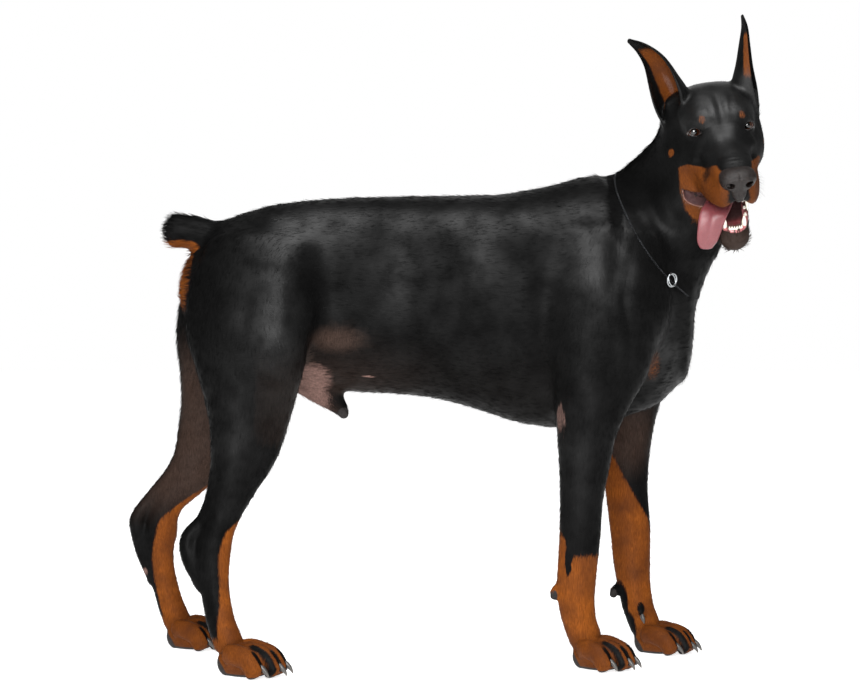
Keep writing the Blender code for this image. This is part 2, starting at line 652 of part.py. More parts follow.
def body_swellings(field):
    """Muscles, bones under the skin and skin folds, placed on the trunk's and limbs' own surface."""
    out = []

    def swell(x, z, way, radii, height):
        out.append(Bulge(field.side(x, z, way), radii, height))

    def fold(points, way, width, depth):
        out.append(Crease([field.side(x, z, way) for x, z in points], width, depth))

    for way in (-1, 1):
        fore = 0.0 if way < 0 else 0.045
        hind = 0.0 if way < 0 else -0.045
        swell(0.235 + fore * 0.4, 0.600, way, (0.030, 0.03, 0.062), 0.004)
        swell(0.300 + fore * 0.4, 0.560, way, (0.024, 0.03, 0.050), 0.004)
        swell(0.335 + fore * 0.5, 0.500, way, (0.030, 0.03, 0.034), 0.006)
        swell(0.200 + fore * 0.6, 0.470, way, (0.032, 0.03, 0.040), 0.006)
        swell(0.262 + fore * 0.8, 0.430, way, (0.020, 0.03, 0.034), -0.003)
        swell(0.236 + fore, 0.345, way, (0.020, 0.03, 0.042), 0.0035)
        swell(0.178 + fore, 0.374, way, (0.016, 0.03, 0.016), 0.004)
        swell(-0.200 + hind * 0.5, 0.600, way, (0.028, 0.03, 0.020), 0.004)
        swell(-0.150, 0.545, way, (0.030, 0.03, 0.050), -0.008)
        swell(-0.285 + hind, 0.520, way, (0.040, 0.03, 0.060), 0.005)
        swell(-0.222 + hind, 0.450, way, (0.026, 0.03, 0.050), 0.006)
        swell(-0.292 + hind, 0.300, way, (0.018, 0.03, 0.040), 0.0035)
        fold([(0.172 + fore * 0.6, 0.585), (0.165 + fore * 0.6, 0.520), (0.160 + fore * 0.6, 0.450), (0.166 + fore * 0.6, 0.400)], way, 0.018, 0.0040)
        fold([(0.268 + fore * 0.4, 0.660), (0.270 + fore * 0.4, 0.600), (0.262 + fore * 0.4, 0.540)], way, 0.012, 0.0028)
        fold([(-0.176, 0.500), (-0.172, 0.455), (-0.178, 0.420)], way, 0.016, 0.0040)
        fold([(-0.250 + hind, 0.560), (-0.252 + hind, 0.500), (-0.262 + hind, 0.430)], way, 0.012, 0.0022)
        fold([(0.318, 0.700), (0.330, 0.650), (0.352, 0.600), (0.368, 0.560)], way, 0.010, 0.0030)
        for k in range(5):
            x = 0.125 - 0.036 * k
            fold([(x, 0.590), (x - 0.012, 0.520), (x - 0.006, 0.450)], way, 0.008, 0.0011)
    out.append(Bulge((0.385, 0, 0.470), (0.02, 0.016, 0.05), 0.004))
    out.append(Crease([(0.392, 0, 0.545), (0.398, 0, 0.490), (0.392, 0, 0.430)], 0.012, 0.004))
    return out


def skin_field(floor):
    forms = [trunk(), neck(), tail()] + sheath()
    for left in (False, True):
        forms += hind_leg(left) + fore_leg(left)
    forms += skull() + ear_roots() + lid_domes()
    for paw in PAWS:
        forms += paw.forms()
    forms += [dewclaw_form(name) for name in DEWCLAWS]
    field = Field(forms, floor=floor)
    field.swellings = body_swellings(field) + head_swellings()
    field.hollows = mouth()
    return field


def nose_field():
    """The nose leather with its two comma-shaped nostrils and the groove between them."""
    pad = head_sweep([
        (0.090, 0, -0.028, 0.0215, 0.0120),
        (0.104, 0, -0.029, 0.0240, 0.0150),
        (0.115, 0, -0.0305, 0.0228, 0.0155),
        (0.1215, 0, -0.0330, 0.0170, 0.0115),
    ], power=2.4, cap=(0.5, 0.35))
    below = head_sweep([
        (0.104, 0, -0.040, 0.012, 0.010),
        (0.114, 0, -0.048, 0.010, 0.008),
        (0.1155, 0, -0.056, 0.006, 0.005),
    ], blend=0.006)

    def nostril(s):
        return [head_sweep([
            (0.104, s * 0.0110, -0.031, 0.0040, 0.0040),
            (0.119, s * 0.0125, -0.0325, 0.0052, 0.0046),
            (0.130, s * 0.0125, -0.0330, 0.0056, 0.0050),
        ], blend=0.0015), head_sweep([
            (0.124, s * 0.0140, -0.0350, 0.0030, 0.0022),
            (0.119, s * 0.0205, -0.0360, 0.0026, 0.0018),
            (0.110, s * 0.0262, -0.0350, 0.0020, 0.0014),
        ], blend=0.0015)]

    def wing(s):
        return [head_bulge((0.119, s * 0.0185, -0.026), (0.008, 0.007, 0.007), 0.0018)]

    groove = Crease(on_head([(0.121, 0, -0.018), (0.127, 0, -0.030), (0.1245, 0, -0.044), (0.119, 0, -0.060)]), 0.0018, 0.0022)
    return Field([pad, below], both(wing) + [groove], both(nostril))


def tongue_field():
    """Out over the right lower lip and down, thick in its middle, with a groove along it."""
    body = Sweep(on_head([
        (-0.006, -0.004, -0.0985, 0.0200, 0.0062),
        (0.025, -0.009, -0.0965, 0.0200, 0.0060),
        (0.050, -0.018, -0.0960, 0.0195, 0.0054),
        (0.070, -0.030, -0.1025, 0.0190, 0.0048),
        (0.0785, -0.0375, -0.1200, 0.0175, 0.0040),
        (0.0785, -0.0415, -0.1370, 0.0150, 0.0036),
        (0.0765, -0.0430, -0.1480, 0.0095, 0.0030),
    ]), side=AXES[:, 1], power=2.3, cap=(0.8, 0.8))
    groove = Crease(on_head([(0.020, -0.008, -0.0905), (0.050, -0.018, -0.0900), (0.076, -0.031, -0.0990), (0.0850, -0.038, -0.120), (0.0840, -0.041, -0.140)]), 0.004, 0.0012)
    return Field([body], [groove])


def lower_teeth_field():
    """A gum arc with six incisors, two canines and the first cheek teeth."""
    arc = [(0.020, 0.0225, -0.106), (0.045, 0.0205, -0.1155), (0.064, 0.0165, -0.1225), (0.0765, 0.0090, -0.1265), (0.0800, 0.0, -0.1275)]
    arc = arc + [(x, -y, z) for x, y, z in arc[-2::-1]]
    forms = [Sweep(on_head([(*p, 0.0034, 0.0042) for p in arc]), side=(0, 0, 1), blend=0.001)]

    def tooth(x, y, z, wide, tall, lean=0.0):
        forms.append(head_sweep([
            (x, y, z, wide, wide * 0.8),
            (x + lean * 0.5, y * 1.02, z + tall * 0.55, wide * 0.95, wide * 0.7),
            (x + lean, y * 1.04, z + tall, wide * 0.45, wide * 0.35),
        ], blend=0.0008))

    for y in (-0.0085, -0.0052, -0.0018, 0.0018, 0.0052, 0.0085):
        tooth(0.0805 - 30 * y * y, y, -0.1265, 0.0017, 0.0085, 0.002)
    for s in (-1, 1):
        tooth(0.0725, s * 0.0138, -0.1245, 0.0033, 0.0165, 0.001)
        for x, y, z in ((0.055, 0.0190, -0.119), (0.042, 0.0208, -0.1145), (0.029, 0.0220, -0.1095)):
            tooth(x, s * y, z, 0.0028, 0.0075)
    return Field(forms)


def canine_rows(s):
    """An upper canine, its root in the palate: x, y, z and radius; the right one stops above the tongue."""
    long = 0.032 if s > 0 else 0.018
    return on_head([
        (0.0790, s * 0.0160, -0.062, 0.0036),
        (0.0815, s * 0.0168, -0.062 - long * 0.35, 0.0038),
        (0.0830, s * 0.0172, -0.062 - long * 0.70, 0.0028),
        (0.0840, s * 0.0172, -0.062 - long, 0.0007),
    ])


def collection(name):
    made = bpy.data.collections.new(name)
    bpy.context.scene.collection.children.link(made)
    return made


def material(name, colour, rough, metal=0.0):
    made = bpy.data.materials.new(name)
    made.use_nodes = True
    shader = made.node_tree.nodes["Principled BSDF"]
    shader.inputs["Base Color"].default_value = (*colour, 1)
    shader.inputs["Roughness"].default_value = rough
    shader.inputs["Metallic"].default_value = metal
    return made


def add(name, mesh, group):
    made = bpy.data.objects.new(name, mesh)
    group.objects.link(made)
    return made


def skinned(i):
    """Triangles over a grid of indices whose rows are closed rings, and its two caps.

    Triangles, not quads, so that a socket cut with a copy of the piece has the very same facets.
    """
    j = np.roll(i, -1, 1)
    one = np.stack([i[:-1], j[:-1], j[1:]], -1).reshape(-1, 3).tolist()
    other = np.stack([i[:-1], j[1:], i[1:]], -1).reshape(-1, 3).tolist()
    return one + other + [i[0][::-1].tolist(), i[-1].tolist()]


def lofted(name, forms, around=20):
    """One mesh of every form's rings, each skinned and capped."""
    points, faces, start = [], [], 0
    for form in forms:
        rings = form.rings(around)
        count, size, _ = rings.shape
        points.append(rings.reshape(-1, 3))
        faces += skinned(np.arange(count * size).reshape(count, size) + start)
        start += count * size
    mesh = bpy.data.meshes.new(name)
    mesh.from_pydata(np.vstack(points).tolist(), [], faces)
    mesh.update()
    return mesh


def apply(obj):
    """Its modifiers made part of its mesh."""
    graph = bpy.context.evaluated_depsgraph_get()
    mesh = bpy.data.meshes.new_from_object(obj.evaluated_get(graph))
    obj.modifiers.clear()
    obj.data = mesh


def remesh(obj, voxel):
    modifier = obj.modifiers.new("Remesh", "REMESH")
    modifier.mode = "VOXEL"
    modifier.voxel_size = voxel
    apply(obj)


def relax(co, edges, steps):
    """Each point half way to the mean of its neighbours, steps times."""
    degree = np.bincount(edges.ravel(), minlength=len(co))[:, None]
    a, b = edges.T
    for _ in range(steps):
        mean = np.stack([
            np.bincount(a, co[b, c], len(co)) + np.bincount(b, co[a, c], len(co)) for c in range(3)
        ], 1) / degree
        co = (co + mean) / 2
    return co


def settle(mesh, field, rounds, most=0.010):
    """Vertices moved along their normals to the field's zero level, smoothed between rounds."""
    count = len(mesh.vertices)
    co, normal = np.empty(count * 3, np.float32), np.empty(count * 3, np.float32)
    edges = np.empty(len(mesh.edges) * 2, np.int32)
    mesh.vertices.foreach_get("co", co)
    mesh.edges.foreach_get("vertices", edges)
    place, edges = co.reshape(-1, 3).astype(float), edges.reshape(-1, 2)
    for left in range(rounds, 0, -1):
        mesh.vertices.foreach_get("normal", normal)
        out = normal.reshape(-1, 3).astype(float)
        value = field(place)
        slope = np.clip((field(place + out * 0.0008) - value) / 0.0008, 0.35, 2)
        place = place - out * np.clip(value / slope, -most, most)[:, None]
        if left > 1:
            place = relax(place, edges, 2)
        mesh.vertices.foreach_set("co", place.astype(np.float32).ravel())
        mesh.update()


def blended(name, forms, field, voxel, faces, group, weights=None, hollows=()):
    """The forms' union brought to the field's surface and thinned to about this many triangles."""
    obj = add(name, lofted(name, forms), group)
    remesh(obj, voxel)
    for hollow in hollows:
        cut(obj, hollow, solver="MANIFOLD")
    remesh(obj, voxel)
    settle(obj.data, field, 3)
    remesh(obj, voxel)
    settle(obj.data, field, 3, 0.004)
    thin(obj, faces, weights)
    return obj


def thin(obj, faces, weights=None):
    """Decimate keeps more triangles where weights, a function of the points, is near zero."""
    count = len(obj.data.polygons) * 2
    modifier = obj.modifiers.new("Decimate", "DECIMATE")
    modifier.ratio = min(1.0, faces / count)
    modifier.use_collapse_triangulate = True
    if weights is not None:
        co = np.empty(len(obj.data.vertices) * 3, np.float32)
        obj.data.vertices.foreach_get("co", co)
        value = np.clip(weights(co.reshape(-1, 3).astype(float)), 0.1, 1)
        coarse = obj.vertex_groups.new(name="coarse")
        for step in range(11):
            chosen = np.nonzero(np.round(value * 10).astype(int) == step)[0].tolist()
            if chosen:
                coarse.add(chosen, step / 10, "REPLACE")
        modifier.vertex_group = "coarse"
        modifier.vertex_group_factor = 8e-5
    apply(obj)
    obj.vertex_groups.clear()


def cutter(name, mesh, group):
    made = add(name, mesh, group)
    made.hide_render = True
    made.display_type = "WIRE"
    return made


def box_mesh(name, sizes, place):
    """A box of these sizes under this matrix."""
    bpy.ops.mesh.primitive_cube_add(size=1)
    cube = bpy.context.object
    mesh = cube.data
    mesh.name = name
    mesh.transform(place @ Matrix.Diagonal((*sizes, 1)))
    bpy.data.objects.remove(cube)
    return mesh


def facing(point, normal, about=(0, 1, 0)):
    """A frame at the point whose z is the normal and whose x is as near as can be to about."""
    z = Vector(normal).normalized()
    y = z.cross(Vector(about)).normalized()
    x = y.cross(z)
    rows = Matrix((x, y, z)).transposed().to_4x4()
    return Matrix.Translation(Vector(point)) @ rows


def cut(obj, other, operation="DIFFERENCE", solver="EXACT"):
    """A Boolean. The head's cuts and the sockets ask for MANIFOLD: EXACT loses whole bodies there."""
    modifier = obj.modifiers.new(operation.title(), "BOOLEAN")
    modifier.operation = operation
    modifier.solver = solver
    modifier.object = other
    apply(obj)


def grown(obj, group, by=CUT):
    """A cutter: a copy of the object, its vertices out along their normals."""
    mesh = obj.data.copy()
    co, normal = np.empty(len(mesh.vertices) * 3, np.float32), np.empty(len(mesh.vertices) * 3, np.float32)
    mesh.vertices.foreach_get("co", co)
    mesh.vertices.foreach_get("normal", normal)
    mesh.vertices.foreach_set("co", co + normal * by * 1.15)
    mesh.update()
    return cutter("socket_" + obj.name, mesh, group)


def seat(host, piece, group):
    """A socket for the piece in its host, wider than the piece by the gap."""
    cut(host, grown(piece, group), solver="MANIFOLD")


def body_numbers(mesh):
    """For each vertex, a number shared by all that hang together."""
    root = np.arange(len(mesh.vertices))
    edges = np.empty(len(mesh.edges) * 2, np.int32)
    mesh.edges.foreach_get("vertices", edges)
    edges = edges.reshape(-1, 2)
    while True:
        low = np.minimum(root[edges[:, 0]], root[edges[:, 1]])
        before = root.copy()
        np.minimum.at(root, edges[:, 0], low)
        np.minimum.at(root, edges[:, 1], low)
        root = root[root]
        if (root == before).all():
            return root


def one_body(mesh, root, number, name):
    """A mesh of the vertices with this number."""
    co = np.empty(len(root) * 3, np.float32)
    mesh.vertices.foreach_get("co", co)
    keep = np.nonzero(root == number)[0]
    index = np.full(len(root), -1)
    index[keep] = np.arange(len(keep))
    faces = [index[list(p.vertices)].tolist() for p in mesh.polygons if root[p.vertices[0]] == number]
    part = bpy.data.meshes.new(name)
    part.from_pydata(co.reshape(-1, 3)[keep].tolist(), [], faces)
    part.update()
    return part


def largest(obj):
    """The object without the crumbs that its cuts have left."""
    root = body_numbers(obj.data)
    obj.data = one_body(obj.data, root, np.bincount(root).argmax(), obj.name)


def pieces(obj, labels, group):
    """The mesh's separate bodies, larger ones first, each named after the nearest label point."""
    mesh = obj.data
    root = body_numbers(mesh)
    co = np.empty(len(root) * 3, np.float32)
    mesh.vertices.foreach_get("co", co)
    co = co.reshape(-1, 3)
    names, points = list(labels), np.array([labels[n] for n in labels])
    sizes = np.bincount(root)
    bpy.data.objects.remove(obj)
    made = {}
    for body in np.argsort(-sizes)[: len(names)]:
        if sizes[body] > 30:
            near = np.linalg.norm(points - co[root == body].mean(0), axis=1)
            name = names[int(near.argmin())]
            if name not in made:
                made[name] = add(name, one_body(mesh, root, body, name), group)
    return list(made.values())


NECK_CUT = ((0.3680, -0.036, 0.7120), (0.22, -0.70, 0.68))  # point, normal toward the skull
PAW_CUT = 0.074  # height at which a paw leaves its leg


def head_weights(q):
    """Coarse away from the face: 0 about the eyes, muzzle and jaw, 1 at the nape."""
    local = (q - EYES) @ AXES
    return np.clip((-local[:, 0] - 0.01) / 0.06, 0.0, 1.0)


def make_head(field, group, cutters):
    skin = [f for f in field.forms if f.p[:, 2].min() > 0.60 and f.p[:, 0].min() > 0.2]
    stem = neck()
    stem = stem.only(stem.p[:, 2] > 0.66)
    hollows = [cutter(f"mouth_{k}", lofted("mouth", [form]), cutters) for k, form in enumerate(mouth())]
    hull = [stem] + skin + cheek_fillers()
    obj = blended("head", hull, field, HEAD_VOXEL, HEAD_FACES, group, head_weights, hollows)
    point, normal = NECK_CUT
    place = facing(Vector(point) + Vector(normal).normalized() * (0.2 + CUT / 2), normal)
    cut(obj, cutter("head_half", box_mesh("head_half", (0.5, 0.5, 0.4), place), cutters), "INTERSECT", "MANIFOLD")
    low, high = on_head([(0.048, 0, -0.162), (0.022, 0, -0.0790)])
    jaw = facing((low + high) / 2, np.cross(AXES[:, 1], high - low), AXES[:, 1])
    height = float(np.linalg.norm(high - low))
    cut(obj, cutter("jaw_slit", box_mesh("jaw_slit", (0.12, height, CUT), jaw), cutters), solver="MANIFOLD")
    labels = {"head": on_head([(-0.02, 0, -0.02)])[0], "lower_jaw": on_head([(0.055, 0, -0.132)])[0]}
    return pieces(obj, labels, group)


def make_paw(paw, field, group, cutters):
    """One foot, cut level where it leaves its leg and flat where it stands."""
    x, y = paw.at[:2]
    near = [
        f.only(f.p[:, 2] < 0.115) for f in field.forms
        if f.p[:, 2].min() < 0.10 and np.hypot(f.p[-1, 0] - x, f.p[-1, 1] - y) < 0.12
    ]
    obj = blended("paw_" + paw.name, near, field, PAW_VOXEL, PAW_FACES, group, lambda q: (q[:, 2] > 0.10) * 1.0)
    middle = (PAW_CUT - CUT) / 2
    box = box_mesh("stand", (0.30, 0.24, PAW_CUT - CUT), Matrix.Translation((x, y, middle)))
    cut(obj, cutter("stand_" + paw.name, box, cutters), "INTERSECT")
    return obj


def slit(name, point, normal, sizes, cutters, about=(0, 1, 0)):
    """A cutter as thin as the gap: sizes are its extents across and along, in the plane."""
    return cutter(name, box_mesh(name, (*sizes, CUT), facing(point, normal, about)), cutters)


def make_body(field, group, cutters):
    """Neck, trunk, tail and limbs, parted by slits."""
    skin = [f for f in field.forms if f.p[:, 2].max() > 0.06]
    obj = blended("body", skin, field, BODY_VOXEL, BODY_FACES, group)
    point, normal = NECK_CUT
    down = facing(Vector(point) + Vector(normal).normalized() * (0.2 - CUT / 2), normal)
    cut(obj, cutter("body_end", box_mesh("body_end", (0.5, 0.5, 0.4), down), cutters))
    floor = box_mesh("floor_cut", (1.4, 0.8, PAW_CUT + 0.1), Matrix.Translation((0, 0, PAW_CUT / 2 - 0.05)))
    cut(obj, cutter("floor_cut", floor, cutters))
    slits = [
        slit("neck_slit", (0.300, 0, 0.640), (0.62, 0, 0.60), (0.40, 0.36), cutters),
        slit("chest_slit", (0.105, 0, 0.52), (1, 0, 0), (0.40, 0.40), cutters),
        slit("loin_slit", (-0.105, 0, 0.54), (1, 0, 0.0), (0.40, 0.40), cutters),
        slit("tail_slit", (-0.3487, 0, 0.636), (-0.95, 0, 0.25), (0.13, 0.09), cutters),
        slit("elbow_slit_right", (0.232, -0.100, 0.330), (0, 0, 1), (0.14, 0.16), cutters),
        slit("elbow_slit_left", (0.297, 0.100, 0.330), (0, 0, 1), (0.14, 0.16), cutters),
        slit("groin_slit_right", (-0.262, -0.098, 0.385), (0.22, 0, 1), (0.15, 0.24), cutters),
        slit("groin_slit_left", (-0.315, 0.098, 0.375), (0.22, 0, 1), (0.15, 0.24), cutters),
        slit("hock_slit_right", (-0.285, -0.11, 0.262), (-0.35, 0, 1), (0.12, 0.18), cutters),
        slit("hock_slit_left", (-0.360, 0.105, 0.267), (-0.45, 0, 1), (0.12, 0.24), cutters),
    ]
    for knife in slits:
        cut(obj, knife)
    labels = {
        "neck": (0.345, -0.01, 0.665),
        "chest": (0.230, 0, 0.50),
        "barrel": (0.000, 0, 0.54),
        "rump": (-0.230, 0, 0.54),
        "tail": (-0.360, 0, 0.635),
        "forearm_right": (0.220, -0.092, 0.20),
        "forearm_left": (0.303, 0.092, 0.20),
        "thigh_right": (-0.265, -0.105, 0.325),
        "thigh_left": (-0.335, 0.100, 0.315),
        "hock_right": (-0.308, -0.118, 0.165),
        "hock_left": (-0.408, 0.113, 0.165),
    }
    return pieces(obj, labels, group)


def make_cone(name, rows, side, group):
    """A claw or canine: six-sided rings along its stations, deeper than wide, its root closed."""
    path = rows[:, :3]
    along = unit(np.gradient(path, axis=0))
    side = unit(side - (along @ side)[:, None] * along)
    up = np.cross(along, side)
    a = np.linspace(0, 2 * math.pi, 6, endpoint=False)[None, :, None]
    radius = rows[:, 3, None, None]
    rings = path[:, None] + radius * (0.82 * np.cos(a) * side[:, None] + np.sin(a) * up[:, None])
    return add(name, loft_of(name, rings), group)


def loft_of(name, rings):
    """A mesh skinned over rings of points and capped at both ends."""
    count, size, _ = rings.shape
    faces = skinned(np.arange(count * size).reshape(count, size))
    mesh = bpy.data.meshes.new(name)
    mesh.from_pydata(rings.reshape(-1, 3).tolist(), [], faces)
    mesh.update()
    return mesh


def make_eye(name, s, group):
    bpy.ops.mesh.primitive_uv_sphere_add(segments=16, ring_count=8, radius=EYE_RADIUS)
    eye = bpy.context.object
    mesh = eye.data
    bpy.data.objects.remove(eye)
    x, y, z = on_head([(EYE_AT[0], s * EYE_AT[1], EYE_AT[2])])[0]
    turn = Matrix([list(r) for r in AXES[:, [1, 2, 0]]]).to_4x4()
    mesh.transform(Matrix.Translation((x, y, z)) @ turn)
    return add(name, mesh, group)


def chain_path(field):
    """A closed line round the base of the neck, a chain's radius off the skin.

    From the middle of a slanting plane, each ray goes out until the field equals that radius.
    """
    centre, normal = np.array(CHAIN_PLANE[0]), unit(CHAIN_PLANE[1])
    e1 = unit((0, 0, 1) - normal * normal[2])
    e2 = np.cross(normal, e1)
    a = np.linspace(0, 2 * math.pi, CHAIN_POINTS, endpoint=False)
    ray = np.outer(np.cos(a), e1) + np.outer(np.sin(a), e2)
    near, far = np.full(CHAIN_POINTS, 0.02), np.full(CHAIN_POINTS, 0.22)
    for _ in range(30):
        mid = (near + far) / 2
        inside = field(centre + ray * mid[:, None]) < CHAIN_RADIUS * 0.6
        near, far = np.where(inside, mid, near), np.where(inside, far, mid)
    path = centre + ray * near[:, None]
    for _ in range(3):
        path = (np.roll(path, 1, 0) + 2 * path + np.roll(path, -1, 0)) / 4
    return path


def make_chain(field, group):
    """The chain as a closed tube, and the ring that joins its ends at the dog's right."""
    path = chain_path(field)
    along = unit(np.roll(path, -1, 0) - np.roll(path, 1, 0))
    side = unit(np.cross(along, CHAIN_PLANE[1]))
    a = np.linspace(0, 2 * math.pi, 6, endpoint=False)[None, :, None]
    rings = path[:, None] + CHAIN_RADIUS * (
        np.cos(a) * side[:, None] + np.sin(a) * np.cross(along, side)[:, None]
    )
    i = np.arange(rings.shape[0] * 6).reshape(-1, 6)
    i = np.vstack([i, i[:1]])
    mesh = bpy.data.meshes.new("chain")
    mesh.from_pydata(rings.reshape(-1, 3).tolist(), [], skinned(i)[:-2])
    mesh.update()
    chain = add("collar_chain", mesh, group)
    at = path[np.argmin(np.linalg.norm(path - RING_AT, axis=1))]
    q = np.array([at + d for d in np.eye(3) * 0.002] + [at])
    out = field(q)
    out = unit(out[:3] - out[3])
    radius, wire = CHAIN_RING
    bpy.ops.mesh.primitive_torus_add(major_radius=radius, minor_radius=wire, major_segments=18, minor_segments=6)
    torus = bpy.context.object
    mesh = torus.data
    bpy.data.objects.remove(torus)
    centre = at + out * (CHAIN_RADIUS + wire + 2.2 * CUT)
    mesh.transform(facing(centre, out))
    return chain, add("collar_ring", mesh, group), out


def finish(obj, name, colour, rough, metal=0.0):
    obj.data.materials.clear()
    obj.data.materials.append(material(name, colour, rough, metal))
    obj.data.polygons.foreach_set("material_index", np.zeros(len(obj.data.polygons), np.int32))
    obj.data.shade_smooth()
    obj.data.set_sharp_from_angle(angle=math.radians(50))


def centre(objects):
    """Everything moved so that the middle of its outer box is over the origin."""
    co = []
    for obj in objects:
        part = np.empty(len(obj.data.vertices) * 3, np.float32)
        obj.data.vertices.foreach_get("co", part)
        co.append(part.reshape(-1, 3))
    co = np.vstack(co)
    middle = (co.min(0) + co.max(0)) / 2
    shift = Matrix.Translation((-float(middle[0]), -float(middle[1]), 0))
    for obj in objects:
        obj.data.transform(shift)


def main():
    for obj in list(bpy.data.objects):
        bpy.data.objects.remove(obj)
    group, cutters = collection("doberman_pinscher"), collection("cutters")
    field = skin_field(floor=-0.003)
    head, jaw = sorted(make_head(field, group, cutters), key=lambda o: o.name)[:2]
    body = make_body(field, group, cutters)
    paws = [make_paw(paw, field, group, cutters) for paw in PAWS]

    eyes = [make_eye("eye_right", -1, group), make_eye("eye_left", 1, group)]
    right, left = ears()
    cups = [add("ear_right", lofted("ear_right", [right], 12), group), add("ear_left", lofted("ear_left", [left], 12), group)]
    nose_forms = nose_field()
    nose = blended("nose", nose_forms.forms, nose_forms, NOSE_VOXEL, 420, group)
    tongue_forms = tongue_field()
    tongue = blended("tongue", tongue_forms.forms, tongue_forms, 0.0016, 260, group)
    teeth_forms = lower_teeth_field()
    teeth = blended("lower_teeth", teeth_forms.forms, teeth_forms, 0.0008, 480, group)
    canines = [
        make_cone(name, canine_rows(s), AXES[:, 1], group)
        for name, s in (("upper_canine_right", -1), ("upper_canine_left", 1))
    ]
    chain, ring, _ = make_chain(field, group)

    for piece in eyes + cups + [nose] + canines:
        seat(head, piece, cutters)
    for k, almond in enumerate(lid_openings()):
        cut(head, cutter(f"lid_opening_{k}", lofted("lid_opening", [almond], 20), cutters), solver="MANIFOLD")
    for host in (head, jaw, teeth):
        seat(host, tongue, cutters)
    for host in (head, jaw):
        seat(host, teeth, cutters)
    for host in body:
        if host.name in ("neck", "chest"):
            seat(host, chain, cutters)
            seat(host, ring, cutters)
    claws = []
    for paw, foot in zip(PAWS, paws):
        nails = paw.claws() + ([dewclaw_rows(paw.name)] if paw.name in DEWCLAWS else [])
        for k, rows in enumerate(nails):
            across = unit(np.cross((0, 0, 1), rows[-1, :3] - rows[0, :3]))
            claw = make_cone(f"claw_{paw.name}_{k + 1}", rows, across, group)
            seat(foot, claw, cutters)
            claws.append(claw)
    for host in [head, jaw, teeth] + body + paws:
        largest(host)

    for obj in [head] + body + cups:
        finish(obj, "coat_" + obj.name, COAT, 0.45)
    for obj in paws + [jaw]:
        finish(obj, "coat_" + obj.name, RUST, 0.6)
    for obj in claws:
        finish(obj, "horn_" + obj.name, CLAW_GREY, 0.4)
    for obj in eyes:
        finish(obj, "cornea_" + obj.name, EYE_BROWN, 0.05)
    finish(nose, "nose_leather", NOSE_BLACK, 0.4)
    finish(tongue, "tongue_skin", TONGUE_PINK, 0.35)
    for obj in [teeth] + canines:
        finish(obj, "enamel_" + obj.name, TOOTH, 0.25)
    finish(chain, "chain_steel", STEEL, 0.25, 1.0)
    finish(ring, "ring_steel", STEEL, 0.25, 1.0)
    centre(list(group.objects))


if __name__ == "__main__":
    main()
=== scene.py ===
"""The looks of a life-size museum model of a standing doberman pinscher.

One skin takes the place of all nodes of flesh: the same forms as the solids', blended and remeshed
finer, its vertices settled a coat's depth inside them, and refined over face, ears and feet. Short
tufts lie on it along the lie of the coat. Eyes, lids, nose, tongue, teeth, claws and chain are pieces
of their own, finer than the nodes that they replace.

Shapes are worked out in the design's frame, +X forward and +Y to the dog's left, and every mesh is
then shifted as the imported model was. Metres.
"""

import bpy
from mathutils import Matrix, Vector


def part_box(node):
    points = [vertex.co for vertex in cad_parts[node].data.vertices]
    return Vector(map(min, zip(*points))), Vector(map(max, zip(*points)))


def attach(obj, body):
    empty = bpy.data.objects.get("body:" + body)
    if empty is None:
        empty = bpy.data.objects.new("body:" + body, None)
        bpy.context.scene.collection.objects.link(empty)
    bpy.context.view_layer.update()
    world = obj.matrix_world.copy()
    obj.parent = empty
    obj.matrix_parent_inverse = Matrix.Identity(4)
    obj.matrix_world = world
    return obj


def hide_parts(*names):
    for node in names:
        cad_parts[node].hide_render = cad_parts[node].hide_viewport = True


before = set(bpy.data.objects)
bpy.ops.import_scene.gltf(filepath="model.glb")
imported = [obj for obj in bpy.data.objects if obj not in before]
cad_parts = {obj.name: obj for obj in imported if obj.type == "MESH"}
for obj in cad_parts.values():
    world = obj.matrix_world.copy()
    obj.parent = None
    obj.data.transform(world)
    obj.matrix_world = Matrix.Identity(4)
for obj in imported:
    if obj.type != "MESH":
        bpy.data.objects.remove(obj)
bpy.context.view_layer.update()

import copy
import math

import bmesh
import bpy
import numpy as np
from mathutils import Matrix, Vector

SPINE_Z = 0.545  # height of the trunk's axis
EYES = np.array([0.417, -0.118, 0.783])  # point midway between the eyes
HEAD_YAW, HEAD_PITCH, HEAD_ROLL = map(math.radians, (7, 25, 8))
EYE_RADIUS = 0.0115
EYE_AT = (-0.0035, 0.0345, 0.002)  # in the head's frame, left eye, as the solids have it
EYE_SEEN_AT = (-0.0033, 0.0385, -0.0019)  # where the photo shows it, under the lids
GAZE = (0.90, -0.17, 0.40)  # toward the viewer
LID_HALF = (0.0088, 0.0066, 0.0052)  # half width of the lids' opening, and its rise and fall
ALMOND = 1.9  # power of the opening's superellipse
NIPPLE = (-0.092, 0.424)  # x and z
BLACK_BEHIND_PASTERN = (  # on the left foreleg: centre and radii
    ((0.286, 0.075, 0.075), (0.014, 0.035, 0.035)),
    ((0.302, 0.085, 0.035), (0.012, 0.040, 0.035)),
)
CHAIN_RADIUS, CHAIN_POINTS = 0.0019, 46
CHAIN_PLANE = ((0.338, 0.0, 0.630), (0.75, -0.30, 0.54))  # a point on it and its normal
RING_AT = (0.345, -0.089, 0.5675)
CHAIN_RING = (0.0095, 0.0014)  # ring's radius and wire radius
CLAW_RADIUS = 0.0044
WIDEST_BLEND = 0.048  # a little over the widest rounding between two forms

COAT_DEPTH = 0.0012  # from the coat's surface down to the skin, on the trunk
SKIN_VOXEL = 0.0028
SKIN_FACES = 80000  # before the face, ears and feet are refined
FINE_EDGE = 0.0019  # longest edge on face, ears and feet

CAMERA_AT = (0.0, -4.0, 0.62)
CAMERA_AIM = (0.0, 0.0, 0.464)
PIXELS_PER_METRE = 675  # in the body's middle plane, 860 pixels to the frame's width
FRAME_PIXELS = 860
SENSOR = 36.0  # mm
SURROUND = 0.20  # the surround's light on the dog; the camera sees it as plain white

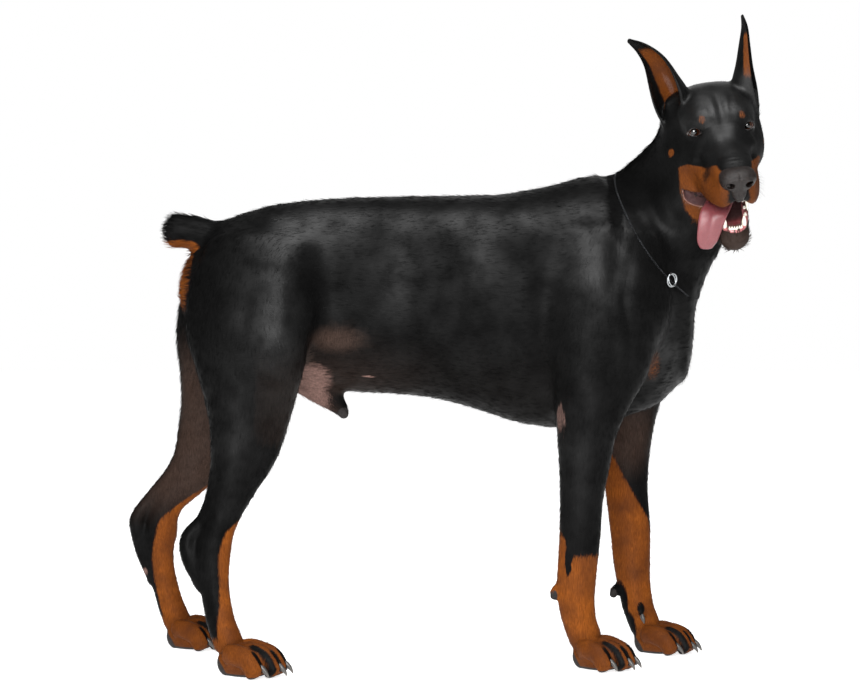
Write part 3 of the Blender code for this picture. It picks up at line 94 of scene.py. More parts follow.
MM = 0.001
FAR_OFF = 0.05  # a field's value where no form is near
SWELLING_DEPTH = 0.03  # a swelling's radius across the body
ROUND = 2 * math.pi
TUFTS = 78000  # roots tried over the whole skin
TUFT_CORNERS = 7
MOST_SHINE = 0.30  # specular level of the glossiest hair
PATCH = 0.003  # a tuft's width on the bake map
CHARTS_ACROSS = 8  # the bake map's grid of cells, one for each form
LINK_PITCH, LINK_WIRE = 0.0026, 0.00037
LINK_HALF = (0.0021, 0.0014)  # half a link's length and width
LINK_STEPS, WIRE_SIDES = 9, 4  # few, because there are hundreds of links
LINK_LEAN = math.radians(38)

FLESH = ["head", "lower_jaw", "neck", "chest", "barrel", "rump", "tail", "ear_left", "ear_right"]
FLESH += [f"{part}_left" for part in ("forearm", "thigh", "hock", "paw_fore", "paw_hind")]
FLESH += [f"{part}_right" for part in ("forearm", "thigh", "hock", "paw_fore", "paw_hind")]


def unit(v):
    """Rows of v at length one."""
    v = np.asarray(v, float)
    return v / np.linalg.norm(v, axis=-1, keepdims=True)


def head_frame():
    """Columns: the head's forward, left and up, from its yaw, pitch and roll."""
    forward = np.array([
        math.sin(HEAD_YAW) * math.cos(HEAD_PITCH),
        -math.cos(HEAD_YAW) * math.cos(HEAD_PITCH),
        -math.sin(HEAD_PITCH),
    ])
    level = np.array([math.cos(HEAD_YAW), math.sin(HEAD_YAW), 0])
    left = level * math.cos(HEAD_ROLL) + np.cross(forward, level) * math.sin(HEAD_ROLL)
    return np.stack([forward, left, np.cross(forward, left)], 1)


AXES = head_frame()


def on_head(rows):
    """Stations given in the head's frame, brought to the world; the columns after x, y, z stay."""
    rows = np.array([list(map(float, r)) for r in rows])
    rows[:, :3] = rows[:, :3] @ AXES.T + EYES
    return rows


def through(points, per_gap=8):
    """A Catmull-Rom curve through rows of numbers, per_gap steps between two of them."""
    p = np.asarray(points, float)
    p = np.vstack([2 * p[0] - p[1], p, 2 * p[-1] - p[-2]])
    t = np.linspace(0, 1, per_gap, endpoint=False)[:, None]
    rows = []
    for a, b, c, d in zip(p[:-3], p[1:-2], p[2:-1], p[3:]):
        cubic = (3 * b - a - 3 * c + d) * t**3
        rows.append(0.5 * (2 * b + (c - a) * t + (2 * a - 5 * b + 4 * c - d) * t**2 + cubic))
    return np.vstack(rows + [p[-2:-1]])


def nearest(rows, q):
    """For each point of q, the number of the row that lies nearest."""
    return np.argmin((rows**2).sum(1)[None] - 2 * q @ rows.T, axis=1)


def smooth_min(a, b, k):
    """The smaller of two fields, less a quarter of k h squared: h is 1 where they are equal, 0 past k."""
    h = np.clip(k - np.abs(a - b), 0, None) / k
    return np.minimum(a, b) - h * h * k / 4


class Sweep:
    """A tapering tube with superelliptic sections along a curve.

    A station is x, y, z, half width, half depth and, where it differs, half depth on the other side.
    Near a point, the field is r (1 - 1/k): r is the distance from the axis, and k the factor by
    which the section there would have to grow to reach the point. Ends are half ellipsoids.
    """

    def __init__(self, stations, side=(0, 1, 0), side_end=None, power=2.0, blend=0.01, cap=(0.8, 0.8)):
        rows = through([list(r) + [r[4]] * (6 - len(r)) for r in stations])
        self.p = rows[:, :3]
        self.w, self.up, self.down = np.maximum(rows[:, 3:6], 1e-4).T
        t = unit(np.gradient(self.p, axis=0))
        m = np.linspace(0, 1, len(t))[:, None]
        s = np.asarray(side, float) * (1 - m) + np.asarray(side if side_end is None else side_end, float) * m
        s = unit(s - (s * t).sum(1, keepdims=True) * t)
        self.t, self.s, self.n = t, s, np.cross(t, s)
        steps = np.linalg.norm(np.diff(self.p, axis=0), axis=1)
        self.length = np.concatenate([[0], np.cumsum(steps)])
        self.power, self.blend = power, blend
        self.cap = (cap[0] * min(self.w[0], self.up[0]), cap[1] * min(self.w[-1], self.up[-1]))
        self.box(max(self.w.max(), self.up.max(), self.down.max()) + WIDEST_BLEND)

    def box(self, reach):
        """The corners of the box past which the form is left out of a field."""
        self.lo, self.hi = self.p.min(0) - reach, self.p.max(0) + reach

    def local(self, q, sizes):
        """For each point: across and up from the axis, past its end, and the sizes there.

        The foot of the point on the axis is found on the nearest sample's tangent and then once
        more from there, so that it moves smoothly.
        """
        i = nearest(self.p, q)
        at = np.clip(self.length[i] + ((q - self.p[i]) * self.t[i]).sum(1), 0, self.length[-1])
        p, t = (np.stack([np.interp(at, self.length, c) for c in rows.T], 1) for rows in (self.p, self.t))
        at = np.clip(at + ((q - p) * t).sum(1), 0, self.length[-1])
        table = np.column_stack([self.p, self.s, self.n, self.t] + sizes)
        part = [np.interp(at, self.length, c) for c in table.T]
        p, s, n, t = (np.stack(part[k : k + 3], 1) for k in (0, 3, 6, 9))
        d = q - p
        x = (d * t).sum(1)
        x = np.where((at > 1e-9) & (at < self.length[-1] - 1e-9), 0.0, x)
        return (d * s).sum(1), (d * n).sum(1), x, part[12:]

    def __call__(self, q):
        u, v, x, (w, up, down) = self.local(q, [self.w, self.up, self.down])
        h = np.where(v > 0, up, down)
        c = np.where(x < 0, self.cap[0], self.cap[1])
        e = self.power
        k = (np.abs(u / w) ** e + np.abs(v / h) ** e) ** (1 / e)
        k = np.sqrt(k**2 + (x / c) ** 2) + 1e-9
        r = np.sqrt(u**2 + v**2 + x**2)
        return np.where(r < 1e-6, -w, r * (1 - 1 / k))

    def rings(self, around=20):
        """Its surface as rings of points: the sections, closed by three smaller ones at each end."""
        a = np.linspace(0, ROUND, around, endpoint=False)
        cu, cv = (np.sign(f) * np.abs(f) ** (2 / self.power) for f in (np.cos(a), np.sin(a)))

        def ring(i, scale, shift):
            h = np.where(cv > 0, self.up[i], self.down[i]) * scale
            centre = self.p[i] + self.t[i] * shift
            return centre + np.outer(cu * self.w[i] * scale, self.s[i]) + np.outer(cv * h, self.n[i])

        steps = np.array([0.97, 0.647, 0.323])
        rings = [ring(0, math.sqrt(1 - x * x), -x * self.cap[0]) for x in steps]
        rings += [ring(i, 1, 0) for i in range(1, len(self.p) - 1)]
        rings += [ring(-1, math.sqrt(1 - x * x), x * self.cap[1]) for x in steps[::-1]]
        return np.array(rings)


class Cup(Sweep):
    """A shell curved round a curve, as an ear is: a station is x, y, z, radius, thickness, half angle.

    Its field is the distance from an arc of that radius and half angle, less half the thickness.
    """

    def __init__(self, stations, opening, blend=0.008):
        rows = np.array(stations, float)
        Sweep.__init__(self, rows[:, :5], side=(0, 0, 1), blend=blend)
        self.spread = np.radians(through(rows[:, [5, 5]])[:, 0])
        o = np.asarray(opening, float)
        self.n = unit(o - (self.t @ o)[:, None] * self.t)
        self.s = np.cross(self.n, self.t)
        self.box(self.w.max() + WIDEST_BLEND)

    def __call__(self, q):
        u, v, x, (w, thick, spread) = self.local(q, [self.w, self.up, self.spread])
        ring = np.abs(np.hypot(u, v) - w)
        tip = np.hypot(np.abs(u) - w * np.sin(spread), v + w * np.cos(spread))
        flat = np.where(np.arctan2(np.abs(u), -v) <= spread, ring, tip)
        return np.hypot(flat, x) - thick / 2

    def rings(self, around=20):
        """Rings that run round the outer face and back along the inner one."""
        rings = []
        for i in range(0, len(self.p), 3):
            a = np.linspace(-1, 1, around // 2) * self.spread[i]
            half = self.up[i] / 2
            r = max(self.w[i], half + 0.0006)
            out, back = ((r + half), a), ((r - half), a[::-1])
            ring = [
                self.p[i] + np.outer(np.sin(b) * k, self.s[i]) - np.outer(np.cos(b) * k, self.n[i])
                for k, b in (out, back)
            ]
            rings.append(np.vstack(ring))
        return np.array(rings)


class Bulge:
    """A soft swelling, or a hollow where height is negative: height * exp(-q^2), q in its radii."""

    def __init__(self, centre, radii, height, turn=None):
        self.c, self.r, self.h = np.asarray(centre, float), np.asarray(radii, float), height
        self.turn = np.eye(3) if turn is None else turn
        reach = self.r.max() * 2.3
        self.lo, self.hi = self.c - reach, self.c + reach

    def __call__(self, q):
        d = ((q - self.c) @ self.turn) / self.r
        return self.h * np.exp(-(d**2).sum(1))


class Crease:
    """A groove along a smooth line, or a ridge where depth is negative, fading at both ends.

    Its depth falls off as exp(-d^2) with the distance d from the line, in widths.
    """

    def __init__(self, path, width, depth):
        self.p = through(path, per_gap=10)
        self.w, self.d = width, depth
        self.fade = np.sin(np.linspace(0.12, math.pi - 0.12, len(self.p))) ** 0.6
        self.lo, self.hi = self.p.min(0) - 3 * width, self.p.max(0) + 3 * width

    def __call__(self, q):
        i = nearest(self.p, q)
        return -self.d * self.fade[i] * np.exp(-((q - self.p[i]) ** 2).sum(1) / self.w**2)


class Field:
    """Forms blended into one, with swellings added, hollows taken out and an optional floor.

    The value is near the distance to the surface: below 0 inside, above 0 outside.
    """

    def __init__(self, forms, swellings=(), hollows=(), floor=None):
        self.forms, self.swellings, self.hollows, self.floor = forms, list(swellings), hollows, floor

    def __call__(self, q):
        out = np.full(len(q), FAR_OFF)

        def near(form):
            """Numbers of the points inside the form's box."""
            return np.nonzero(((q > form.lo) & (q < form.hi)).all(1))[0]

        for form in self.forms:
            i = near(form)
            if len(i):
                out[i] = smooth_min(out[i], form(q[i]), form.blend)
        for form in self.swellings:
            i = near(form)
            if len(i):
                out[i] -= form(q[i])
        for form in self.hollows:
            i = near(form)
            if len(i):
                out[i] = -smooth_min(-out[i], form(q[i]), form.blend)
        if self.floor is not None:
            out = -smooth_min(-out, q[:, 2] - self.floor, 0.0012)
        return out

    def side(self, x, z, way):
        """The point on the surface at x, z, met when coming from the left (way 1) or right (-1)."""
        y = way * np.linspace(0.20, 0, 401)  # steps of half a millimetre
        q = np.column_stack([np.full(401, x), y, np.full(401, z)])
        inside = np.nonzero(self(q) < 0)[0]
        return np.array([x, y[inside[0]], z])


def trunk():
    """From the buttocks to the breast; a row is x, topline, underline, half width."""
    rows = [
        (-0.335, 0.610, 0.500, 0.046),
        (-0.305, 0.645, 0.465, 0.070),
        (-0.250, 0.671, 0.440, 0.088),
        (-0.190, 0.681, 0.415, 0.086),
        (-0.120, 0.686, 0.399, 0.081),
        (-0.050, 0.688, 0.395, 0.088),
        (0.010, 0.689, 0.388, 0.098),
        (0.070, 0.690, 0.372, 0.108),
        (0.130, 0.692, 0.353, 0.112),
        (0.190, 0.696, 0.345, 0.110),
        (0.240, 0.700, 0.348, 0.105),
        (0.290, 0.690, 0.362, 0.097),
        (0.335, 0.655, 0.379, 0.083),
        (0.372, 0.600, 0.412, 0.062),
    ]
    rows = [(x, 0, SPINE_Z, w, top - SPINE_Z, SPINE_Z - low) for x, top, low, w in rows]
    return Sweep(rows, power=2.25, cap=(0.75, 0.35))


def neck():
    """From the shoulders to the back of the skull, turning with the head."""
    return Sweep([
        (0.180, 0.000, 0.570, 0.070, 0.112, 0.110),
        (0.260, 0.000, 0.595, 0.076, 0.120, 0.114),
        (0.325, -0.002, 0.638, 0.071, 0.110, 0.108),
        (0.361, -0.012, 0.690, 0.065, 0.093, 0.102),
        (0.380, -0.028, 0.735, 0.060, 0.080, 0.093),
        (0.389, -0.042, 0.778, 0.052, 0.063, 0.064),
    ], side_end=AXES[:, 1], power=2.1, blend=0.045)


def tail():
    """The docked tail's stump."""
    return Sweep([
        (-0.265, 0, 0.622, 0.034, 0.031),
        (-0.310, 0, 0.627, 0.028, 0.024),
        (-0.347, 0, 0.634, 0.023, 0.025),
        (-0.376, 0, 0.637, 0.022, 0.026),
    ], blend=0.022, cap=(0.8, 0.72))


def hind_leg(left):
    """Thigh, shank and metatarsus, with the tendon and point of the hock behind."""
    if left:
        return [Sweep([
            (-0.258, 0.050, 0.595, 0.040, 0.078),
            (-0.279, 0.078, 0.540, 0.043, 0.092),
            (-0.293, 0.090, 0.480, 0.045, 0.092),
            (-0.302, 0.094, 0.420, 0.043, 0.080),
            (-0.318, 0.098, 0.360, 0.038, 0.064),
            (-0.344, 0.102, 0.300, 0.031, 0.047),
            (-0.369, 0.104, 0.262, 0.025, 0.033),
            (-0.394, 0.107, 0.229, 0.021, 0.024),
            (-0.406, 0.110, 0.204, 0.021, 0.023),
            (-0.410, 0.113, 0.180, 0.021, 0.025),
            (-0.413, 0.116, 0.150, 0.018, 0.022),
            (-0.409, 0.118, 0.115, 0.016, 0.0195),
            (-0.399, 0.120, 0.072, 0.017, 0.0195),
            (-0.388, 0.121, 0.042, 0.019, 0.021),
        ], blend=0.040, cap=(0.6, 0.8)), Sweep([
            (-0.350, 0.100, 0.310, 0.012, 0.016),
            (-0.398, 0.103, 0.262, 0.009, 0.011),
            (-0.431, 0.107, 0.225, 0.009, 0.010),
            (-0.4470, 0.110, 0.198, 0.012, 0.012),
            (-0.4440, 0.114, 0.172, 0.012, 0.013),
            (-0.4375, 0.116, 0.143, 0.010, 0.0115),
            (-0.4230, 0.118, 0.105, 0.009, 0.009),
        ], blend=0.012)]
    return [Sweep([
        (-0.250, -0.050, 0.600, 0.040, 0.075),
        (-0.257, -0.080, 0.551, 0.043, 0.091),
        (-0.261, -0.093, 0.500, 0.046, 0.093),
        (-0.260, -0.098, 0.450, 0.045, 0.082),
        (-0.260, -0.101, 0.405, 0.042, 0.070),
        (-0.262, -0.104, 0.362, 0.038, 0.059),
        (-0.268, -0.107, 0.320, 0.033, 0.050),
        (-0.281, -0.110, 0.276, 0.027, 0.036),
        (-0.294, -0.113, 0.238, 0.022, 0.027),
        (-0.304, -0.115, 0.208, 0.021, 0.024),
        (-0.311, -0.118, 0.182, 0.021, 0.026),
        (-0.313, -0.122, 0.153, 0.018, 0.025),
        (-0.309, -0.127, 0.116, 0.016, 0.021),
        (-0.301, -0.132, 0.076, 0.017, 0.0205),
        (-0.290, -0.136, 0.045, 0.019, 0.0215),
    ], blend=0.040, cap=(0.6, 0.8)), Sweep([
        (-0.295, -0.106, 0.330, 0.012, 0.016),
        (-0.308, -0.109, 0.275, 0.009, 0.011),
        (-0.326, -0.112, 0.226, 0.009, 0.009),
        (-0.3480, -0.114, 0.194, 0.012, 0.0125),
        (-0.3465, -0.119, 0.165, 0.012, 0.013),
        (-0.330, -0.124, 0.128, 0.010, 0.010),
    ], blend=0.012)]


def fore_leg(left):
    """Shoulder, upper arm, forearm and pastern, with the carpal pad behind the wrist."""
    if left:
        return [Sweep([
            (0.272, 0.066, 0.610, 0.030, 0.078),
            (0.296, 0.086, 0.530, 0.037, 0.078),
            (0.305, 0.093, 0.460, 0.038, 0.070),
            (0.301, 0.097, 0.400, 0.034, 0.055),
            (0.297, 0.099, 0.340, 0.030, 0.044),
            (0.297, 0.097, 0.280, 0.027, 0.036),
            (0.299, 0.094, 0.240, 0.024, 0.033),
            (0.304, 0.090, 0.185, 0.021, 0.0315),
            (0.306, 0.085, 0.140, 0.021, 0.029),
            (0.309, 0.080, 0.105, 0.021, 0.0255),
            (0.315, 0.075, 0.070, 0.020, 0.0235),
            (0.325, 0.071, 0.042, 0.021, 0.023),
        ], blend=0.035, cap=(0.6, 0.8)), Sweep([
            (0.292, 0.080, 0.100, 0.007, 0.008),
            (0.281, 0.079, 0.093, 0.007, 0.0075),
            (0.2775, 0.0785, 0.086, 0.006, 0.006),
        ], blend=0.006)]
    return [Sweep([
        (0.262, -0.068, 0.620, 0.034, 0.082),
        (0.262, -0.090, 0.540, 0.040, 0.080),
        (0.256, -0.099, 0.465, 0.038, 0.070),
        (0.237, -0.100, 0.400, 0.035, 0.056),
        (0.227, -0.097, 0.350, 0.032, 0.045),
        (0.224, -0.094, 0.304, 0.029, 0.0385),
        (0.220, -0.091, 0.250, 0.025, 0.0325),
        (0.218, -0.089, 0.198, 0.022, 0.0310),
        (0.215, -0.087, 0.157, 0.021, 0.0300),
        (0.213, -0.086, 0.128, 0.021, 0.0290),
        (0.213, -0.085, 0.098, 0.021, 0.0270),
        (0.218, -0.084, 0.068, 0.020, 0.0245),
        (0.226, -0.083, 0.045, 0.021, 0.0240),
    ], blend=0.035, cap=(0.6, 0.8)), Sweep([
        (0.194, -0.084, 0.122, 0.007, 0.008),
        (0.183, -0.084, 0.113, 0.0075, 0.0075),
        (0.1805, -0.084, 0.104, 0.006, 0.006),
    ], blend=0.006)]


class Paw:
    """A cat-like foot: four arched toes over a pad, its x forward, turned about z and scaled."""

    TOES = ((-0.0285, -0.017), (-0.0098, 0.0), (0.0098, 0.0), (0.0285, -0.017))  # across, set back

    def __init__(self, name, x, y, yaw, size):
        self.name, self.at, self.size = name, np.array([x, y, 0]), size
        c, s = math.cos(math.radians(yaw)), math.sin(math.radians(yaw))
        self.turn = np.array([[c, -s, 0], [s, c, 0], [0, 0, 1]])

    def place(self, rows):
        """Rows in the paw's frame, brought to the world; sizes after x, y, z are scaled."""
        rows = np.array([list(map(float, r)) for r in rows])
        rows[:, :3] = (rows[:, :3] * self.size) @ self.turn.T + self.at
        rows[:, 3:] *= self.size
        return rows

    def forms(self):
        """The pad and the toes, each toe arched down to its claw."""
        side = self.turn[:, 1]
        pad = Sweep(self.place([
            (-0.026, 0, 0.0165, 0.0195, 0.0180),
            (-0.014, 0, 0.0175, 0.0250, 0.0200),
            (0.000, 0, 0.0180, 0.0285, 0.0205),
            (0.016, 0, 0.0195, 0.0285, 0.0190),
        ]), side=side, blend=0.009)
        toes = [Sweep(self.place([
            (-0.006 + back * 0.6, across * 0.74, 0.0300, 0.0108, 0.0135),
            (0.013 + back, across * 0.95, 0.0310, 0.0114, 0.0138),
            (0.030 + back, across * 1.04, 0.0245, 0.0118, 0.0140),
            (0.0405 + back, across * 1.08, 0.0105, 0.0118, 0.0130),
        ]), side=side, blend=0.0045, cap=(0.8, 0.62)) for across, back in self.TOES]
        return [pad] + toes

    def claws(self):
        """Each claw's stations: x, y, z and radius, from inside the toe to the tip."""
        rows = []
        for across, back in self.TOES:
            x, y = 0.0405 + back, across * 1.08
            path = [
                (0, 0.0175, 1), (0.007, 0.0172, 1), (0.0125, 0.0138, 0.78),
                (0.0168, 0.0085, 0.42), (0.0182, 0.005, 0.12),
            ]
            rows.append(self.place([(x + dx, y, z, CLAW_RADIUS * r) for dx, z, r in path]))
        return rows


# x, y and the inner side
DEWCLAWS = {"fore_right": (0.219, -0.0615, 1), "fore_left": (0.3175, 0.0525, -1)}


def dewclaw_form(name):
    """The nub of the first toe on the inner side of a foreleg."""
    x, y, way = DEWCLAWS[name]
    return Sweep([
        (x - 0.007, y - way * 0.009, 0.072, 0.006, 0.007),
        (x - 0.001, y - way * 0.001, 0.064, 0.0062, 0.007),
        (x + 0.001, y, 0.059, 0.0050, 0.0055),
    ], blend=0.006)


def dewclaw_rows(name):
    """Its claw, pointing down: x, y, z and radius."""
    x, y, way = DEWCLAWS[name]
    path = [
        (0, -0.001, 0.063, 1), (0.0015, 0.002, 0.058, 1),
        (0.0035, 0.0045, 0.052, 0.75), (0.005, 0.004, 0.046, 0.15),
    ]
    return np.array([(x + dx, y + way * dy, z, CLAW_RADIUS * 0.9 * r) for dx, dy, z, r in path])


PAWS = [
    Paw("hind_right", -0.261, -0.158, -19, 1.11),
    Paw("hind_left", -0.360, 0.105, -16, 1.07),
    Paw("fore_right", 0.247, -0.096, -30, 1.04),
    Paw("fore_left", 0.349, 0.060, -20, 1.02),
]


def head_sweep(rows, **options):
    """A sweep whose stations are in the head's frame."""
    return Sweep(on_head(rows), side=AXES[:, 1], **options)


def head_bulge(centre, radii, height):
    """A swelling placed and turned with the head."""
    return Bulge(on_head([centre])[0], radii, height, AXES)


def both(make):
    """What make(-1) and make(1) give, for the right and the left."""
    return make(-1) + make(1)


def skull():
    """Cranium, muzzle, cheeks, flews and lower jaw, in the head's frame."""
    cranium = head_sweep([
        (-0.108, 0, -0.004, 0.040, 0.026),
        (-0.086, 0, -0.003, 0.056, 0.040),
        (-0.055, 0, -0.002, 0.062, 0.047),
        (-0.015, 0, -0.006, 0.055, 0.043),
        (0.012, 0, -0.014, 0.041, 0.030),
    ], power=2.35, blend=0.028, cap=(0.8, 0.7))
    muzzle = head_sweep([
        (-0.020, 0, -0.030, 0.044, 0.031),
        (0.020, 0, -0.034, 0.038, 0.031),
        (0.055, 0, -0.036, 0.034, 0.030),
        (0.085, 0, -0.037, 0.031, 0.028),
        (0.103, 0, -0.038, 0.027, 0.024),
    ], power=2.6, blend=0.018, cap=(0.6, 0.50))
    bridge = head_sweep([
        (-0.020, 0, -0.012, 0.030, 0.027),
        (0.012, 0, -0.016, 0.027, 0.026),
        (0.036, 0, -0.024, 0.024, 0.024),
        (0.062, 0, -0.030, 0.022, 0.022),
    ], power=2.3, blend=0.010)
    jaw = head_sweep([
        (-0.070, 0, -0.072, 0.044, 0.030),
        (-0.020, 0, -0.096, 0.037, 0.024),
        (0.020, 0, -0.1125, 0.031, 0.022),
        (0.050, 0, -0.130, 0.0255, 0.020),
        (0.073, 0, -0.1405, 0.0215, 0.0185),
    ], power=2.4, blend=0.010, cap=(0.8, 0.75))

    def sides(s):
        """The cheek and the flew, the upper lip that hangs beside the mouth."""
        cheek = head_sweep([
            (-0.090, s * 0.043, -0.030, 0.018, 0.030),
            (-0.055, s * 0.0505, -0.042, 0.020, 0.038),
            (-0.020, s * 0.049, -0.045, 0.017, 0.033),
            (0.012, s * 0.038, -0.050, 0.010, 0.022),
        ], blend=0.020)
        flew = head_sweep([
            (0.004, s * 0.041, -0.058, 0.007, 0.019),
            (0.035, s * 0.0375, -0.062, 0.0070, 0.0190),
            (0.070, s * 0.0315, -0.063, 0.0075, 0.0180),
            (0.096, s * 0.0215, -0.061, 0.0090, 0.0165),
            (0.108, s * 0.0080, -0.054, 0.0080, 0.0110),
        ], blend=0.010)
        return [cheek, flew]

    return [cranium, muzzle, bridge, jaw] + both(sides)


def cheek_fillers():
    """Solid flesh between cranium, muzzle and cheek, for the first mesh only."""
    return both(lambda s: [head_sweep([
        (-0.060, s * 0.034, -0.026, 0.018, 0.024),
        (-0.010, s * 0.034, -0.030, 0.016, 0.022),
        (0.018, s * 0.028, -0.036, 0.014, 0.022),
    ])])


def mouth():
    """The open mouth: a slot that widens from the corners forward, and the cavity behind the lips."""
    slot = head_sweep([
        (0.011, 0, -0.0810, 0.060, 0.0034),
        (0.022, 0, -0.0905, 0.060, 0.0080),
        (0.035, 0, -0.0945, 0.060, 0.0115),
        (0.052, 0, -0.0965, 0.060, 0.0155),
        (0.085, 0, -0.1010, 0.060, 0.0220),
        (0.140, 0, -0.1090, 0.060, 0.0300),
    ], power=5, blend=0.004)
    cavity = head_sweep([
        (-0.035, 0, -0.081, 0.018, 0.006),
        (0.000, 0, -0.084, 0.027, 0.013),
        (0.030, 0, -0.089, 0.0275, 0.020),
        (0.060, 0, -0.095, 0.0235, 0.0255),
        (0.090, 0, -0.092, 0.0200, 0.0255),
    ], power=2.6, blend=0.004)
    return [slot, cavity]


def ears():
    """Cropped ears: cups that narrow to a bent tip, the right one leaning out, the left upright."""
    right = on_head([
        (-0.062, -0.046, -0.012, 0.023, 0.0060, 150),
        (-0.058, -0.058, 0.022, 0.0255, 0.0052, 120),
        (-0.054, -0.070, 0.055, 0.0235, 0.0044, 95),
        (-0.051, -0.083, 0.088, 0.0185, 0.0038, 80),
        (-0.049, -0.100, 0.113, 0.0115, 0.0034, 70),
        (-0.050, -0.119, 0.1305, 0.0034, 0.0030, 60),
    ])
    left = on_head([
        (-0.062, 0.046, -0.012, 0.022, 0.0060, 150),
        (-0.062, 0.053, 0.022, 0.0235, 0.0052, 120),
        (-0.063, 0.058, 0.055, 0.0210, 0.0044, 95),
        (-0.066, 0.061, 0.090, 0.0175, 0.0038, 80),
        (-0.069, 0.061, 0.118, 0.0125, 0.0034, 70),
        (-0.070, 0.054, 0.1405, 0.0050, 0.0030, 60),
    ])
    return Cup(right, AXES @ (0.80, -0.60, 0.0)), Cup(left, AXES @ (0.30, 0.95, 0.0))


def eye_line(s):
    """The middle of an eyeball and the way its lids open: forward, a little up."""
    x, y, z = EYE_SEEN_AT
    return np.array([x, s * y, z]), unit(np.array([0.93, s * 0.05, 0.30]))


def lid_axes(s):
    """Across and up in the plane of an eye's opening; its inner corner is the lower."""
    look = eye_line(s)[1]
    across = np.cross((0, 0, 1.0), look) + s * np.array([0, 0, 0.16])
    across = unit(across - (across @ look) * look)
    return across, np.cross(look, across)


def lid_domes():
    """A dome a lid's thickness larger than each eyeball."""
    def dome(s):
        at, look = eye_line(s)
        rows = [(*(at + look * k), EYE_RADIUS + 0.0022, EYE_RADIUS + 0.0022) for k in (-0.004, -0.002, 0.0)]
        return [head_sweep(rows, blend=0.005, cap=(1.0, 1.0))]
    return both(dome)


def lid_openings():
    """The opening between the lids, deep enough to reach the eyeball."""
    def almond(s):
        at, look = eye_line(s)
        across = lid_axes(s)[0]
        rows = [(*(at + look * k), *LID_HALF) for k in (0.0055, 0.018, 0.030)]
        return [Sweep(on_head(rows), side=AXES @ across, power=ALMOND, blend=0.0008, cap=(0.1, 0.1))]
    return both(almond)


def ear_roots():
    """The flesh that the ears' cups stand in."""
    def root(s):
        return [head_sweep([
            (-0.060, s * 0.030, -0.020, 0.020, 0.020),
            (-0.066, s * 0.046, 0.004, 0.021, 0.017),
            (-0.068, s * 0.055, 0.024, 0.014, 0.009),
        ], blend=0.014)]
    return both(root)


def sheath():
    """The sheath under the groin and the fold that carries it."""
    return [Sweep([
        (-0.215, 0, 0.432, 0.020, 0.022),
        (-0.180, 0, 0.410, 0.019, 0.021),
        (-0.152, 0, 0.392, 0.0165, 0.019),
        (-0.134, 0, 0.376, 0.0115, 0.013),
        (-0.127, 0, 0.368, 0.0070, 0.008),
    ], blend=0.020)]


def head_swellings():
    """Brows, stop, the hollows beside the eyes, and the furrows of forehead and muzzle."""
    def sides(s):
        x, y, z = EYE_AT[0], s * EYE_AT[1], EYE_AT[2]
        return [
            head_bulge((x + 0.015, y - s * 0.012, z - 0.004), (0.012, 0.008, 0.010), -0.0030),
            head_bulge((x + 0.006, y + s * 0.014, z - 0.006), (0.012, 0.008, 0.010), -0.0022),
            head_bulge((x + 0.006, s * 0.031, z + 0.020), (0.018, 0.015, 0.010), 0.0040),
            head_bulge((0.022, s * 0.041, -0.020), (0.026, 0.012, 0.010), 0.0025),
            head_bulge((0.048, s * 0.034, -0.026), (0.030, 0.010, 0.012), -0.0022),
            head_bulge((-0.020, s * 0.060, -0.005), (0.022, 0.016, 0.022), -0.0035),
            head_bulge((-0.040, s * 0.030, 0.045), (0.040, 0.020, 0.020), 0.0022),
            Crease(on_head([
                (0.028, s * 0.047, -0.040), (0.060, s * 0.041, -0.048), (0.092, s * 0.029, -0.048),
            ]), 0.006, 0.0014),
        ]

    middle = [
        head_bulge((0.000, 0, 0.034), (0.040, 0.007, 0.020), -0.0032),
        head_bulge((0.026, 0, 0.006), (0.020, 0.012, 0.012), -0.0018),
        head_bulge((0.070, 0, -0.008), (0.034, 0.012, 0.010), 0.0018),
        head_bulge((-0.045, 0, 0.052), (0.030, 0.006, 0.014), 0.0016),
        head_bulge((0.070, 0, -0.160), (0.018, 0.013, 0.010), 0.0035),
    ]
    return middle + both(sides)


def swelling(field, x, z, way, wide, tall, height):
    """A swelling, or a hollow, on the side of the body at x, z."""
    return Bulge(field.side(x, z, way), (wide, SWELLING_DEPTH, tall), height)


def fold(field, points, way, width, depth):
    """A crease on the side of the body, through points given by x and z."""
    return Crease([field.side(x, z, way) for x, z in points], width, depth)


